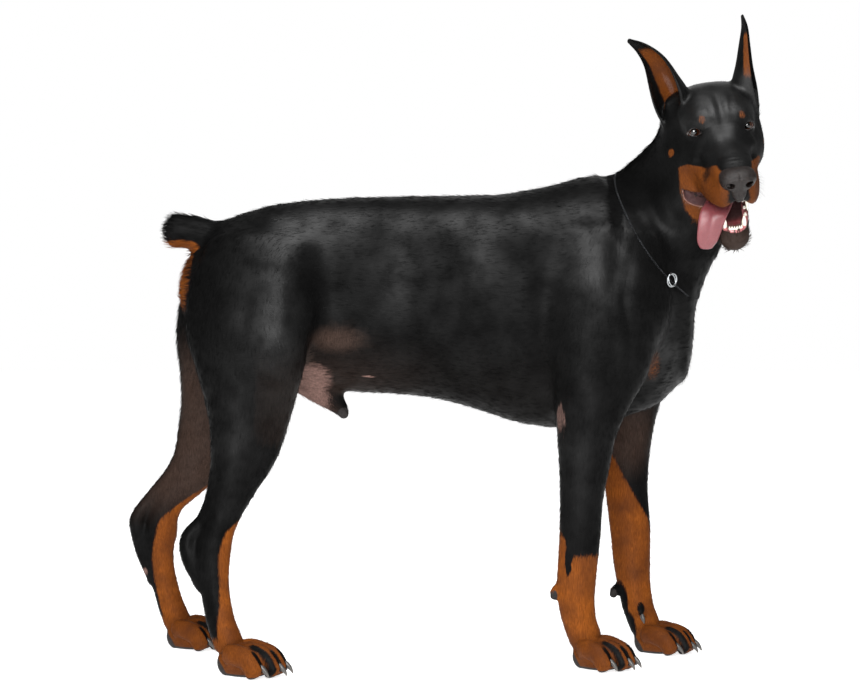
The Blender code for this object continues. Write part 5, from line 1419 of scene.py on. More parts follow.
def trunk_marks(q, normal):
    """Rust by the tail and on the breast, thin hair on the belly, bare skin on sheath and elbows."""
    mirrored = np.column_stack([q[:, 0], np.abs(q[:, 1]), q[:, 2]])
    below_tail = fade(-normal[:, 2] - 0.6 * normal[:, 0], 0.05, 0.2)
    rust = np.maximum.reduce([
        spot(q, (-0.362, 0, 0.600), (0.034, 0.030, 0.028)) * below_tail,
        spot(q, (-0.368, 0, 0.560), (0.036, 0.040, 0.052)) * fade(-normal[:, 0], 0.0, 0.2),
        0.45 * spot(mirrored, (0.325, 0.080, 0.441), (0.014, 0.05, 0.030), 0.5),
    ])

    belly = fade(-normal[:, 2], 0.20, 0.40) * (q[:, 2] > 0.33) * fade(-q[:, 2], -0.455, 0.05)
    belly = belly * (q[:, 0] < 0.2) * (q[:, 0] > -0.25) * (0.03 + 0.34 * fade(-q[:, 0], 0.06, 0.10))
    groin = spot(mirrored, (-0.135, 0.075, 0.478), (0.034, 0.03, 0.016), 0.7)
    armpit = spot(q, (0.290, 0.060, 0.335), (0.050, 0.045, 0.060), 0.5)
    thin_hair = np.maximum.reduce([belly, groin, armpit])

    sheathed = np.minimum.reduce([form(q) for form in sheath()])
    knob = spot(q, (-0.129, 0, 0.3665), (0.0105, 0.012, 0.0105), 0.15)
    sheath_skin = np.where(q[:, 2] < 0.425, 1 - fade(sheathed, 0.004, 0.005), 0) * (1 - knob)
    callus = spot(mirrored, (0.189, 0.112, 0.367), (0.009, 0.016, 0.024)) * (q[:, 1] < 0)
    bare = np.maximum.reduce([
        0.66 * sheath_skin * fade(-q[:, 0], 0.146, 0.02),
        0.68 * spot(q, (-0.170, 0, 0.424), (0.034, 0.08, 0.030), 0.4) * (q[:, 2] < 0.450),
        0.5 * callus,
        0.5 * spot(q, (0.262, 0.125, 0.360), (0.009, 0.016, 0.024)),
        spot(mirrored, (NIPPLE[0], 0.060, NIPPLE[1]), (0.0045, 0.03, 0.0040)),
        spot(q, (-0.436, 0.115, 0.118), (0.006, 0.012, 0.006)),
    ])
    return rust, thin_hair, bare, knob


def mouth_marks(q, h):
    """In and round the open mouth: its lining, the lips' dark leather, and bare rims and gums."""
    near = on_face(q)
    hollow = np.full(len(q), 1.0)
    hollow[near] = np.minimum.reduce([form(q[near]) for form in mouth()])
    forward = fade(h[:, 0], 0.058, 0.010)
    inner = 1 - fade(hollow, 0.0014, 0.0007)
    lining = inner * (0.14 + 0.86 * forward)
    lip = np.maximum(0.8 * inner * (1 - forward), (1 - fade(hollow, 0.0042, 0.0009)) * (1 - inner))
    rim = (1 - fade(np.abs(hollow - 0.0020), 0.0008, 0.0006)) * (1 - forward)
    gums = (1 - fade(hollow, 0.0036, 0.0008)) * (1 - inner) * fade(-h[:, 2], 0.112, 0.003)
    return lining, lip * (1 - np.maximum(rim, gums)), np.maximum(0.8 * rim, 0.9 * gums)


def marks(q, normal):
    """The coat's markings at each point, 0 to 1, under the names that its material reads."""
    h = of_head(q)
    rust, inner_thigh = leg_marks(q)
    foot, between_toes, pad = paw_marks(q)
    rust = np.maximum(rust, foot) * (1 - 0.9 * between_toes) * (1 - 0.12 * foot)
    for at, radii in BLACK_BEHIND_PASTERN:
        rust = rust * (1 - spot(q, at, radii))
    for name in DEWCLAWS:
        root = np.array(dewclaw_rows(name)[0][:3])
        rust = rust * (1 - 0.9 * spot(q, root + (0, 0, 0.004), (0.006, 0.010, 0.012), 0.4))
    face, chin = head_marks(q)
    ear_rust, ear_bare_and_highlight = ear_marks(q)
    trunk_rust, thin_hair, bare, knob = trunk_marks(q, normal)
    lining, lip, mouth_bare = mouth_marks(q, h)

    carpal_pads = [
        spot(q, at, (0.006, 0.012, 0.009)) for at in ((0.181, -0.084, 0.107), (0.278, 0.0785, 0.088))
    ]
    toes = [spot(q, np.add(paw.at, (0.0, 0.0, 0.034)), (0.030, 0.040, 0.014), 0.5) for paw in PAWS]
    return {
        "rust": np.maximum.reduce([rust, face, ear_rust, trunk_rust]),
        "thin_hair": np.maximum.reduce([inner_thigh, thin_hair, chin]),
        # Bare skin, and inside the ears a painted highlight as well.
        "bare": np.maximum.reduce([bare, ear_bare_and_highlight, mouth_bare]),
        "lining": lining,
        "leather": np.maximum.reduce([pad, lip, knob, 0.45 * chin] + carpal_pads),
        "gloss": gloss_places(q, h),
        "deep": np.maximum.reduce([0.40 * on_face(q), 0.30 * foot, 0.55 * np.maximum.reduce(toes)]),
    }


def srgb(code):
    """A hex colour as linear red, green, blue and alpha."""
    c = np.array([int(code[i : i + 2], 16) for i in (1, 3, 5)]) / 255
    linear = np.where(c <= 0.04045, c / 12.92, ((c + 0.055) / 1.055) ** 2.4)
    return (*linear.tolist(), 1.0)


def node(tree, kind, inputs=(), out=None, **settings):
    """One shader node: its settings, and its inputs, each a value or another node's output.

    It gives the output of that name, or else the first one in use.
    """
    made = tree.nodes.new("ShaderNode" + kind)
    for name, value in settings.items():
        setattr(made, name, value)
    for key, value in dict(inputs).items():
        if isinstance(value, bpy.types.NodeSocket):
            tree.links.new(value, made.inputs[key])
        else:
            made.inputs[key].default_value = value
    return made.outputs[out] if out else next(o for o in made.outputs if o.enabled)


def material(name):
    """An empty material: its tree, its shader and the place of each point, in metres."""
    made = bpy.data.materials.new(name)
    made.use_nodes = True
    tree = made.node_tree
    return made, tree, tree.nodes["Principled BSDF"], node(tree, "TexCoord", out="Object")


def finish_shader(tree, shader, linked, **fixed):
    """The shader's linked inputs, and its plain numbers set on their own sockets."""
    for name, output in linked.items():
        tree.links.new(output, shader.inputs[name])
    for name, value in fixed.items():
        shader.inputs[name.replace("_", " ")].default_value = value


COAT_GRAINS = {  # spacing, stretch along x, y and z, detail
    "trunk_hairs": (1.5385 * MM, (0.13, 1, 1), 2.0),  # hairs 12 mm long, drawn as coarse as they show
    "limb_hairs": (1.3333 * MM, (1, 1, 0.16), 2.0),
    "patches": (38.462 * MM, (1, 1, 1), 3.0),  # where the hairs lie a little differently
    "pores": (3.3333 * MM, (1, 1, 1), 4.0),
    "warts": (2.381 * MM, (1, 1, 1), 4.0),
    "membrane": (5.5556 * MM, (1, 1, 1), 3.0),
    "roughness": (2.6316 * MM, (1, 1, 1), 4.0),
}
COAT_HUES = {  # the grain that mixes them, and the two ends
    "black": ("hairs", "#030303", "#0e0e0e"),
    "rust": ("hairs", "#401c0a", "#8e4f1c"),
    "thin_hair": ("hairs", "#0e0a08", "#42332c"),
    "bare": ("pores", "#463733", "#82655d"),
    "leather": ("warts", "#121111", "#3a3736"),
    "lining": ("membrane", "#55191d", "#a3585a"),
}
COAT_BORDERS = {  # how far the hairs fray a marking's border, and where the border starts and ends
    "rust": (0.5, 0.55, 0.95),
    "bare": (0.5, 0.50, 1.0),
    "leather": (0.4, 0.55, 0.9),
}
COAT_ROUGHNESS = {"rust": 0.58, "bare": 0.60, "leather": 0.55, "lining": 0.24}


def short_coat():
    """A short, smooth coat: stiff hairs about 10 mm long that lie flat, oily enough to shine.

    Black hair shows mostly as cool grey gloss, drawn out along the hairs; rust hair is duller. Bare
    skin, pads and the mouth's lining are told from hair by the mesh's attributes.
    """
    made, tree, shader, place = material("short_coat")
    share = {
        name: node(tree, "Attribute", attribute_name=name, out="Fac")
        for name in ("limb", "gloss", "deep", "rust", "thin_hair", "bare", "leather", "lining")
    }
    grain = {}
    for name, (spacing, stretch, detail) in COAT_GRAINS.items():
        at = node(tree, "Mapping", {"Vector": place, "Scale": stretch})
        grain[name] = node(tree, "TexNoise", {"Vector": at, "Scale": 1 / spacing, "Detail": detail})
    limb_or_trunk = {0: share["limb"], 2: grain["trunk_hairs"], 3: grain["limb_hairs"]}
    grain["hairs"] = node(tree, "Mix", limb_or_trunk, data_type="FLOAT")

    for name, (fray, start, end) in COAT_BORDERS.items():
        frayed = {0: grain["hairs"], 1: fray, 2: share[name]}
        frayed = node(tree, "Math", frayed, operation="MULTIPLY_ADD")
        share[name] = node(tree, "MapRange", {0: frayed, 1: start, 2: end}, interpolation_type="SMOOTHSTEP")

    hue = {
        name: node(tree, "Mix", {0: grain[mixed_by], 6: srgb(low), 7: srgb(high)}, data_type="RGBA")
        for name, (mixed_by, low, high) in COAT_HUES.items()
    }
    faded = node(tree, "Mix", {0: grain["patches"], 2: -0.6, 3: 1.2}, data_type="FLOAT")
    for amount, darker in ((faded, "#3c1c0b"), (share["deep"], "#2e1508")):
        hue["rust"] = node(tree, "Mix", {0: amount, 6: hue["rust"], 7: srgb(darker)}, data_type="RGBA")

    colour = hue["black"]
    rough = node(tree, "Mix", {0: grain["patches"], 2: 0.36, 3: 0.50}, data_type="FLOAT")
    rough = node(tree, "Mix", {0: grain["hairs"], 2: rough, 3: 0.46}, data_type="FLOAT")
    for name in ("thin_hair", "rust", "bare", "leather", "lining"):
        colour = node(tree, "Mix", {0: share[name], 6: colour, 7: hue[name]}, data_type="RGBA")
        if name in COAT_ROUGHNESS:
            rough = node(tree, "Mix", {0: share[name], 2: rough, 3: COAT_ROUGHNESS[name]}, data_type="FLOAT")

    patchy = node(tree, "MapRange", {0: grain["patches"], 1: 0.3, 2: 0.7, 3: 0.4, 4: 1.5})
    tight = node(tree, "Math", {0: share["gloss"], 1: patchy}, operation="MULTIPLY")
    shine = node(tree, "Mix", {0: tight, 2: 0.0, 3: MOST_SHINE}, data_type="FLOAT")
    warts = {"Vector": place, "Scale": 1 / (1.9231 * MM)}
    cracks = node(tree, "TexVoronoi", warts, feature="DISTANCE_TO_EDGE")
    height = grain["hairs"]
    for name, other in (("bare", grain["roughness"]), ("leather", cracks)):
        height = node(tree, "Mix", {0: share[name], 2: height, 3: other}, data_type="FLOAT")
    bump = node(tree, "Bump", {"Height": height, "Strength": 0.30, "Distance": 0.7 * MM})
    waves = {"Height": grain["patches"], "Strength": 0.30, "Distance": 4 * MM, "Normal": bump}
    bump = node(tree, "Bump", waves)
    linked = {"Base Color": colour, "Roughness": rough, "Normal": bump, "Specular IOR Level": shine}
    finish_shader(tree, shader, linked)
    return made


IRIS = (  # along the polar angle: pupil, iris with its dark rim, and the white's brownish edge
    (0.00, "#010101"), (0.33, "#010101"), (0.37, "#1c0c05"), (0.46, "#4c260f"),
    (0.54, "#2c150a"), (0.60, "#0a0504"), (0.66, "#5e4842"), (1.00, "#35251f"),
)


def eye_glass():
    """A wet eyeball: dark brown iris with radial fibres round a black pupil, under a clear cornea."""
    made, tree, shader, place = material("wet_eye")
    polar = node(tree, "Attribute", attribute_name="polar", out="Fac")
    fibres = node(tree, "TexNoise", {"Vector": place, "Scale": 1 / (1.1111 * MM), "Detail": 3.0})
    rings = node(tree, "ValToRGB", {0: polar})
    ramp = rings.node.color_ramp
    while len(ramp.elements) < len(IRIS):
        ramp.elements.new(0.5)
    for element, (at, code) in zip(ramp.elements, IRIS):
        element.position, element.color = at, srgb(code)
    fibrous = {0: fibres, 6: rings, 7: srgb("#2b150a")}
    colour = node(tree, "Mix", fibrous, data_type="RGBA", blend_type="SOFT_LIGHT")
    finish_shader(
        tree, shader, {"Base Color": colour}, Roughness=0.06, IOR=1.33,
        Coat_Weight=1.0, Coat_Roughness=0.01, Coat_IOR=1.42,
    )
    return made


def pebbled(name, low, high, cell, strength, rough, **fixed):
    """Moist skin of small raised cells of this size: colour from low to high, lighter on the cells, with
    painted shade in the grooves between them.
    """
    made, tree, shader, place = material(name)
    cells = node(tree, "TexVoronoi", {"Vector": place, "Scale": 1 / cell}, feature="DISTANCE_TO_EDGE")
    raised = node(tree, "MapRange", {0: cells, 1: 0.0, 2: 0.35}, interpolation_type="SMOOTHSTEP")
    cloud = node(tree, "TexNoise", {"Vector": place, "Scale": 1 / (7.1429 * MM), "Detail": 3.0})
    # Painted shade: darkest in the grooves between the cells and lightest on their tops, varied at random by
    # the cloud.
    groove_shade_and_tone = node(tree, "Math", {0: raised, 1: cloud}, operation="MULTIPLY")
    linked = {
        "Base Color": node(tree, "Mix", {0: groove_shade_and_tone, 6: srgb(low), 7: srgb(high)}, data_type="RGBA"),
        "Normal": node(tree, "Bump", {"Height": raised, "Strength": strength, "Distance": cell * 0.3}),
        "Roughness": node(tree, "MapRange", {0: cloud, 3: rough - 0.08, 4: rough + 0.08}),
    }
    finish_shader(tree, shader, linked, **fixed)
    return made


def enamel():
    """Tooth enamel, ivory, grown smooth and wet, over pink gum where the mesh's attribute says so."""
    made, tree, shader, place = material("enamel_and_gum")
    gum = node(tree, "Attribute", attribute_name="gum", out="Fac")
    cloud = node(tree, "TexNoise", {"Vector": place, "Scale": 1 / (3.8462 * MM), "Detail": 3.0})
    ivory, flesh = (
        node(tree, "Mix", {0: cloud, 6: srgb(low), 7: srgb(high)}, data_type="RGBA")
        for low, high in (("#cfc6b2", "#f3efe4"), ("#8f4648", "#cf8484"))
    )
    linked = {
        "Base Color": node(tree, "Mix", {0: gum, 6: ivory, 7: flesh}, data_type="RGBA"),
        "Roughness": node(tree, "MapRange", {0: cloud, 3: 0.16, 4: 0.28}),
    }
    finish_shader(tree, shader, linked, IOR=1.62, Coat_Weight=0.4, Coat_Roughness=0.05)
    return made


def horn():
    """Claw horn: dark grey keratin with growth lines along it, worn glossy and paler at the tip."""
    made, tree, shader, place = material("claw_horn")
    tip = node(tree, "Attribute", attribute_name="tip", out="Fac")
    lines = node(tree, "TexNoise", {"Vector": place, "Scale": 1 / (0.9091 * MM), "Detail": 2.0})
    dark = node(tree, "Mix", {0: lines, 6: srgb("#1a1918"), 7: srgb("#33312f")}, data_type="RGBA")
    linked = {
        "Base Color": node(tree, "Mix", {0: tip, 6: dark, 7: srgb("#5d5853")}, data_type="RGBA"),
        "Normal": node(tree, "Bump", {"Height": lines, "Strength": 0.25, "Distance": 0.2 * MM}),
    }
    finish_shader(tree, shader, linked, Roughness=0.38, IOR=1.54)
    return made


def steel(name, tint):
    """Chromed steel wire, drawn and polished, then dulled by fine scratches from wear, in the given tint; a
    dark tint stands for painted shade.
    """
    made, tree, shader, place = material(name)
    wear = node(tree, "TexNoise", {"Vector": place, "Scale": 1 / (1.4286 * MM), "Detail": 4.0})
    rough = node(tree, "MapRange", {0: wear, 3: 0.22, 4: 0.42})
    finish_shader(tree, shader, {"Roughness": rough}, Base_Color=srgb(tint), Metallic=1.0)
    return made


def studio_floor():
    """The floor of a photo studio: translucent white acrylic, matt, lit from below as well."""
    made, tree, shader, place = material("studio_white")
    cloud = node(tree, "TexNoise", {"Vector": place, "Scale": 1 / (333.33 * MM), "Detail": 3.0})
    colour = node(tree, "Mix", {0: cloud, 6: srgb("#f2f2f2"), 7: srgb("#f6f6f5")}, data_type="RGBA")
    finish_shader(
        tree, shader, {"Base Color": colour}, Roughness=0.9, Specular_IOR_Level=0.1,
        Emission_Color=srgb("#ffffff"), Emission_Strength=0.80,
    )
    return made


def limb_share(q):
    """1 where the coat's streaks run up and down, as on legs and head; 0 where along the trunk."""
    upright = np.maximum(fade(-q[:, 2], -0.40, 0.03), fade(q[:, 0], 0.30, 0.03) * fade(q[:, 2], 0.60, 0.04))
    return np.maximum(upright, spot(np.abs(q), (0.135, 0.075, 0.478), (0.05, 0.05, 0.03), 0.5))


def mark_mesh(mesh):
    """The markings at its vertices, as attributes."""
    place = coordinates(mesh)
    for name, values in marks(place, coordinates(mesh, "normal")).items():
        give(mesh, name, values)
    give(mesh, "limb", limb_share(place))


def flow(q, forms):
    """The coat's lie at each point, and the place on its form's surface: number, along and round it.

    Each form near the point adds its own direction, with a weight that falls with the distance
    from its surface.
    """
    total, best = np.zeros_like(q), np.full(len(q), 9.0)
    chart = np.zeros((len(q), 3))
    for number, form in enumerate(forms):
        i = np.nonzero(((q > form.lo) & (q < form.hi)).all(1))[0]
        if not len(i):
            continue
        value = form(q[i])
        j = nearest(form.p, q[i])
        total[i] += form.lie * form.t[j] * np.exp(-value / 0.006)[:, None]
        d = q[i] - form.p[j]
        angle = np.arctan2((d * form.n[j]).sum(1), (d * form.s[j]).sum(1)) / ROUND + 0.5
        closer = value < best[i]
        best[i] = np.where(closer, value, best[i])
        here = np.column_stack([np.full(len(i), number), j / len(form.p), angle])
        chart[i] = np.where(closer[:, None], here, chart[i])
    return total, chart


def scatter(mesh, count, density, rng):
    """Roots spread over a mesh's triangles by area times density: their places and normals."""
    mesh.calc_loop_triangles()
    tri = np.empty(len(mesh.loop_triangles) * 3, np.int32)
    mesh.loop_triangles.foreach_get("vertices", tri)
    tri = tri.reshape(-1, 3)
    co, normal = coordinates(mesh), coordinates(mesh, "normal")
    a, b, c = (co[tri[:, k]] for k in range(3))
    area = np.linalg.norm(np.cross(b - a, c - a), axis=1) * density((a + b + c) / 3)
    chosen = np.searchsorted(np.cumsum(area), rng.random(count) * area.sum())
    r = np.sqrt(rng.random(count))
    s = rng.random(count)
    weights = np.column_stack([1 - r, r * (1 - s), r * s])
    place = (co[tri[chosen]] * weights[:, :, None]).sum(1)
    out = unit((normal[tri[chosen]] * weights[:, :, None]).sum(1))
    return place, out


def tufts(name, place, out, lie, chart, values, length, width, rise, rng):
    """One mesh of tapered, bent tufts, three-sided, each with its root sunk in the skin.

    Each has a section at the root, one at 0.55 of its length, and a tip: along the lie, rising off
    the skin by rise at the tip.
    """
    count = len(place)
    along = lie - (lie * out).sum(1, keepdims=True) * out
    along = unit(along + rng.normal(0, 0.10, (count, 3)) * np.linalg.norm(along, axis=1, keepdims=True))
    across = np.cross(out, along)
    length = (length * rng.uniform(0.75, 1.2, count))[:, None]
    width = (width * rng.uniform(0.8, 1.2, count))[:, None]
    rise = (rise * rng.uniform(0.5, 1.3, count))[:, None]

    def section(share, lift, scale):
        middle, wide = place + along * length * share + out * lift, width * scale
        return [middle + across * wide / 2, middle - across * wide / 2, middle + out * wide * 0.35]

    tip = place + along * length + out * rise
    points = np.stack(section(0.0, -0.0006, 1.0) + section(0.55, rise * 0.62, 0.75) + [tip], 1)
    one = np.array([
        (0, 1, 2), (0, 4, 1), (0, 3, 4), (1, 5, 2), (1, 4, 5),
        (2, 3, 0), (2, 5, 3), (3, 6, 4), (4, 6, 5), (5, 6, 3),
    ])
    faces = (one[None] + TUFT_CORNERS * np.arange(count)[:, None, None]).reshape(-1, 3)
    mesh = mesh_of(name, points.reshape(-1, 3), faces)
    mesh.shade_smooth()
    lean = np.array([0.18, -0.18, 0.0, 0.18, -0.18, 0.0, 0.0])[None, :, None]
    facing = unit(out[:, None] + lean * across[:, None] + rng.normal(0, 0.05, (count, 1, 3)))
    mesh.normals_split_custom_set_from_vertices(facing.reshape(-1, 3))
    for key, value in values.items():
        give(mesh, key, np.repeat(value, TUFT_CORNERS))
    bake_map(mesh, chart, one)
    return add(name, mesh)


def bake_map(mesh, chart, one):
    """OFBake: each tuft a small patch at its root's place on the forms' own unwrap.

    A form has a cell of a square grid, with its length across the cell and its girth up it.
    """
    number = chart[:, 0].astype(int)
    corner = np.column_stack([number % CHARTS_ACROSS, number // CHARTS_ACROSS % CHARTS_ACROSS])
    margin = PATCH + 0.001
    root = corner / CHARTS_ACROSS + margin + chart[:, 1:] * (1 / CHARTS_ACROSS - 3 * margin)
    shape = np.array([(0, 0), (1, 0), (0.5, 0.2), (0.1, 0.6), (0.9, 0.6), (0.5, 0.7), (0.5, 1)])
    uv = root[:, None] + PATCH * shape[None]
    layer = mesh.uv_layers.new(name="OFBake")
    layer.data.foreach_set("uv", uv[:, one.ravel()].reshape(-1).astype(np.float32))


def tuft_sizes(place):
    """Length, width and rise at the tip: least on face, ears and feet, most behind the thighs."""
    h = of_head(place)
    face = np.clip(np.maximum(h[:, 0] / 0.06 + 1.5, h[:, 2] / 0.02 + 0.8), 0, 0.9 + 0.1 * (h[:, 0] > 0))
    face = face * on_face(place)
    face = face * fade(place[:, 2], 0.650, 0.045)
    ear = on_face(place) * fade(h[:, 2], 0.045, 0.012)
    low = fade(-place[:, 2], -0.28, 0.10)
    foot = fade(-place[:, 2], -0.06, 0.03)
    rear = spot(place, (-0.37, 0, 0.56), (0.05, 0.12, 0.16)) * (1 - face)
    length = 0.0120 - 0.0080 * face - 0.0040 * low * (1 - foot) - 0.0075 * foot + 0.004 * rear
    width = 0.0010 - 0.0006 * face - 0.0003 * np.maximum(low, foot)
    rise = 0.0010 - 0.0008 * face - 0.0004 * foot + 0.0012 * rear
    return length * (1 - 0.55 * ear), width * (1 - 0.4 * ear), rise * (1 - 0.75 * ear)


def make_tufts(skin, forms, coat):
    """The coat in six pieces, with no tufts in the mouth, on pads, or close to eyes and nose."""
    rng = np.random.default_rng(41)

    def density(q):
        return 1.0 + 2.2 * on_face(q) + 1.2 * (q[:, 2] < 0.30) + 1.2 * (q[:, 0] < -0.30)

    place, out = scatter(skin.data, TUFTS, density, rng)
    values = marks(place, out)
    values["limb"] = limb_share(place)
    h = of_head(place)
    eyes = np.minimum.reduce([np.linalg.norm(h - eye_line(s)[0], axis=1) for s in (-1, 1)])
    nose = np.linalg.norm((h - (0.112, 0, -0.034)) / (0.02, 0.028, 0.024), axis=1)
    nipple = np.hypot(place[:, 0] - NIPPLE[0], place[:, 2] - NIPPLE[1])
    hairy = (values["lining"] < 0.1) & (values["leather"] < 0.5) & (place[:, 2] > 0.006)
    hairy &= (eyes > 0.0165) & (nose > 1.0) & (nipple > 0.007)
    place, out = place[hairy], out[hairy]
    values = {key: value[hairy] for key, value in values.items()}

    lie, chart = flow(place, forms)
    length, width, rise = tuft_sizes(place)
    head, upper, x = on_face(place), place[:, 2] > 0.33, place[:, 0]
    groups = {
        "coat_head": head,
        "coat_forequarters": ~head & (x > 0.12) & upper,
        "coat_hindquarters": ~head & (x < -0.10) & upper,
        "coat_barrel": (np.abs(x - 0.01) <= 0.11) & upper,
        "coat_forelegs": (x > 0) & ~upper,
        "coat_hind_legs": (x <= 0) & ~upper,
    }
    for name, group in groups.items():
        part = {key: value[group] for key, value in values.items()}
        piece = tufts(name, place[group], out[group], lie[group], chart[group], part,
                      length[group], width[group], rise[group], rng)
        dress(piece, coat, "coat")


def make_eye(name, s, glass):
    """An eyeball: a sphere whose radius grows by 0.7 mm toward where it looks, for the cornea's bulge.

    The growth falls off as exp(-(angle / 0.5)^4) with the angle from the way it looks.
    """
    rings, around = 49, 64
    at, look = eye_line(s)[0], unit(np.array(GAZE))
    side = unit(np.cross((0, 0, 1), look))
    up = np.cross(look, side)
    polar = np.linspace(0.0, math.pi, rings)[:, None]
    turn = np.linspace(0, ROUND, around, endpoint=False)[None]
    radius = EYE_RADIUS - 0.3 * MM + 0.7 * MM * np.exp(-((polar / 0.50) ** 4))
    toward = (
        np.cos(polar)[..., None] * look + (np.sin(polar) * np.cos(turn))[..., None] * side
        + (np.sin(polar) * np.sin(turn))[..., None] * up
    )
    points = at + radius[..., None] * toward
    points[0], points[-1] = points[0].mean(0), points[-1].mean(0)
    mesh = mesh_of(name, on_head(points.reshape(-1, 3)), ring_faces(rings, around)[:, ::-1])
    give(mesh, "polar", np.repeat(np.clip(polar[:, 0] / 1.1, 0, 1), around))
    merge(mesh)
    dress(add(name + "_ball", mesh), glass, "eye", name)


def merge(mesh):
    """Doubled points joined, as at a sphere's poles, and faces turned outwards."""
    fine = bmesh.new()
    fine.from_mesh(mesh)
    bmesh.ops.remove_doubles(fine, verts=fine.verts, dist=1e-6)
    bmesh.ops.dissolve_degenerate(fine, edges=fine.edges, dist=1e-7)
    bmesh.ops.recalc_face_normals(fine, faces=fine.faces)
    fine.to_mesh(mesh)
    fine.free()


def make_lid_rim(name, s, leather):
    """The lids' dark margin: a thin cord on the almond's edge, laid on a sphere just over the eyeball."""
    at, look = eye_line(s)
    side, rise = lid_axes(s)
    a = np.linspace(0, ROUND, 72, endpoint=False)
    x, y = (np.sign(f) * np.abs(f) ** (2 / ALMOND) for f in (np.cos(a), np.sin(a)))
    u, v = x * LID_HALF[0], y * np.where(y > 0, LID_HALF[1], LID_HALF[2])
    deep = np.sqrt(np.maximum((EYE_RADIUS + 0.0006) ** 2 - u**2 - v**2, 1e-6))
    path = at + np.outer(u, side) + np.outer(v, rise) + np.outer(deep, look)
    mesh = tube(name, on_head(path), 0.00085, AXES @ look, 8, closed=True)
    merge(mesh)
    dress(add(name, mesh), leather, "nose")


def make_eyes():
    """Both eyeballs and the margins of their lids."""
    glass = eye_glass()
    margin = pebbled("lid_margin", "#0c0b0b", "#2b2625", cell=0.0006, strength=0.2, rough=0.35)
    for name, s in (("eye_right", -1), ("eye_left", 1)):
        make_eye(name, s, glass)
        make_lid_rim(name + "_lids", s, margin)


def make_claw(name, rows, keratin):
    """A curved, tapering claw, deeper than wide, with its root sunk in the toe."""
    around = 16
    rows = through(rows, 5)
    radius = np.maximum(rows[:, 3], 1.3 * MM)
    radius[-1] = 0.3 * MM
    side = unit(np.cross((0, 0, 1), rows[-1, :3] - rows[0, :3]))
    mesh = tube(name, rows[:, :3], radius, side, around, wide=0.8)
    give(mesh, "tip", np.repeat(np.linspace(0, 1, len(rows)) ** 3, around))
    merge(mesh)
    dress(add(name + "_horn", mesh), keratin, "claw", name)


def make_claws():
    """The claws of all toes, and those of the first toes inside the forelegs."""
    keratin = horn()
    for paw in PAWS:
        nails = paw.claws() + ([dewclaw_rows(paw.name)] if paw.name in DEWCLAWS else [])
        for k, rows in enumerate(nails):
            make_claw(f"claw_{paw.name}_{k + 1}", rows, keratin)


def make_teeth():
    """Lower gum and teeth in one piece, and the upper canines, oval and tapering."""
    ivory, around = enamel(), 20
    field = lower_teeth_field()
    lower = blended("lower_teeth_fine", field.forms, field, 0.0006)
    gum = field.forms[0]
    give(lower.data, "gum", 1 - fade(gum(coordinates(lower.data)), 0.0009, 0.0006))
    dress(lower, ivory, "tooth", "lower_teeth")
    for name, s in (("upper_canine_right", -1), ("upper_canine_left", 1)):
        rows = through(canine_rows(s), 8)
        mesh = tube(name, rows[:, :3], rows[:, 3], AXES[:, 1], around, wide=0.8)
        give(mesh, "gum", np.repeat(fade(-np.linspace(0, 1, len(rows)), -0.12, 0.04), around))
        merge(mesh)
        dress(add(name + "_fine", mesh), ivory, "tooth", name)


def make_nose():
    """The nose leather, a little larger than its field about its middle, and lower, as the photo has it."""
    leather = pebbled(
        "nose_leather", "#0d0a09", "#3a302c", cell=0.0011, strength=0.45, rough=0.44,
        Specular_IOR_Level=0.26,
    )
    field = nose_field()
    piece = blended("nose_leather", field.forms, field, 0.0008)
    middle = Vector(on_head([(0.104, 0, -0.031)])[0])
    down = Vector(-0.0015 * AXES[:, 2])
    larger = Matrix.Translation(middle + down) @ Matrix.Scale(1.08, 4) @ Matrix.Translation(-middle)
    piece.data.transform(larger)
    dress(piece, leather, "nose", "nose")


def make_tongue():
    """The tongue: moist, finely pebbled, and soft enough for light to pass a little way in."""
    flesh = pebbled(
        "tongue_skin", "#672f34", "#8f5558", cell=0.0009, strength=0.25, rough=0.33,
        Subsurface_Weight=0.15, Subsurface_Scale=0.004,
    )
    field = tongue_field()
    dress(blended("tongue_fine", field.forms, field, 0.0011), flesh, "tongue", "tongue")


def chain_path(field):
    """A closed line round the base of the neck, a chain's radius off the skin."""
    centre, normal = np.array(CHAIN_PLANE[0]), unit(CHAIN_PLANE[1])
    e1 = unit((0, 0, 1) - normal * normal[2])
    e2 = np.cross(normal, e1)
    a = np.linspace(0, ROUND, CHAIN_POINTS, endpoint=False)
    ray = np.outer(np.cos(a), e1) + np.outer(np.sin(a), e2)
    near, far = np.full(CHAIN_POINTS, 0.02), np.full(CHAIN_POINTS, 0.22)
    for _ in range(30):
        mid = (near + far) / 2
        inside = field(centre + ray * mid[:, None]) < CHAIN_RADIUS * 0.5
        near, far = np.where(inside, mid, near), np.where(inside, far, mid)
    path = centre + ray * near[:, None]
    for _ in range(3):
        path = (np.roll(path, 1, 0) + 2 * path + np.roll(path, -1, 0)) / 4
    return path


def outward(field, at):
    """The field's direction of growth at a point."""
    q = np.array([at + d for d in np.eye(3) * 0.002] + [at])
    value = field(q)
    return unit(value[:3] - value[3])


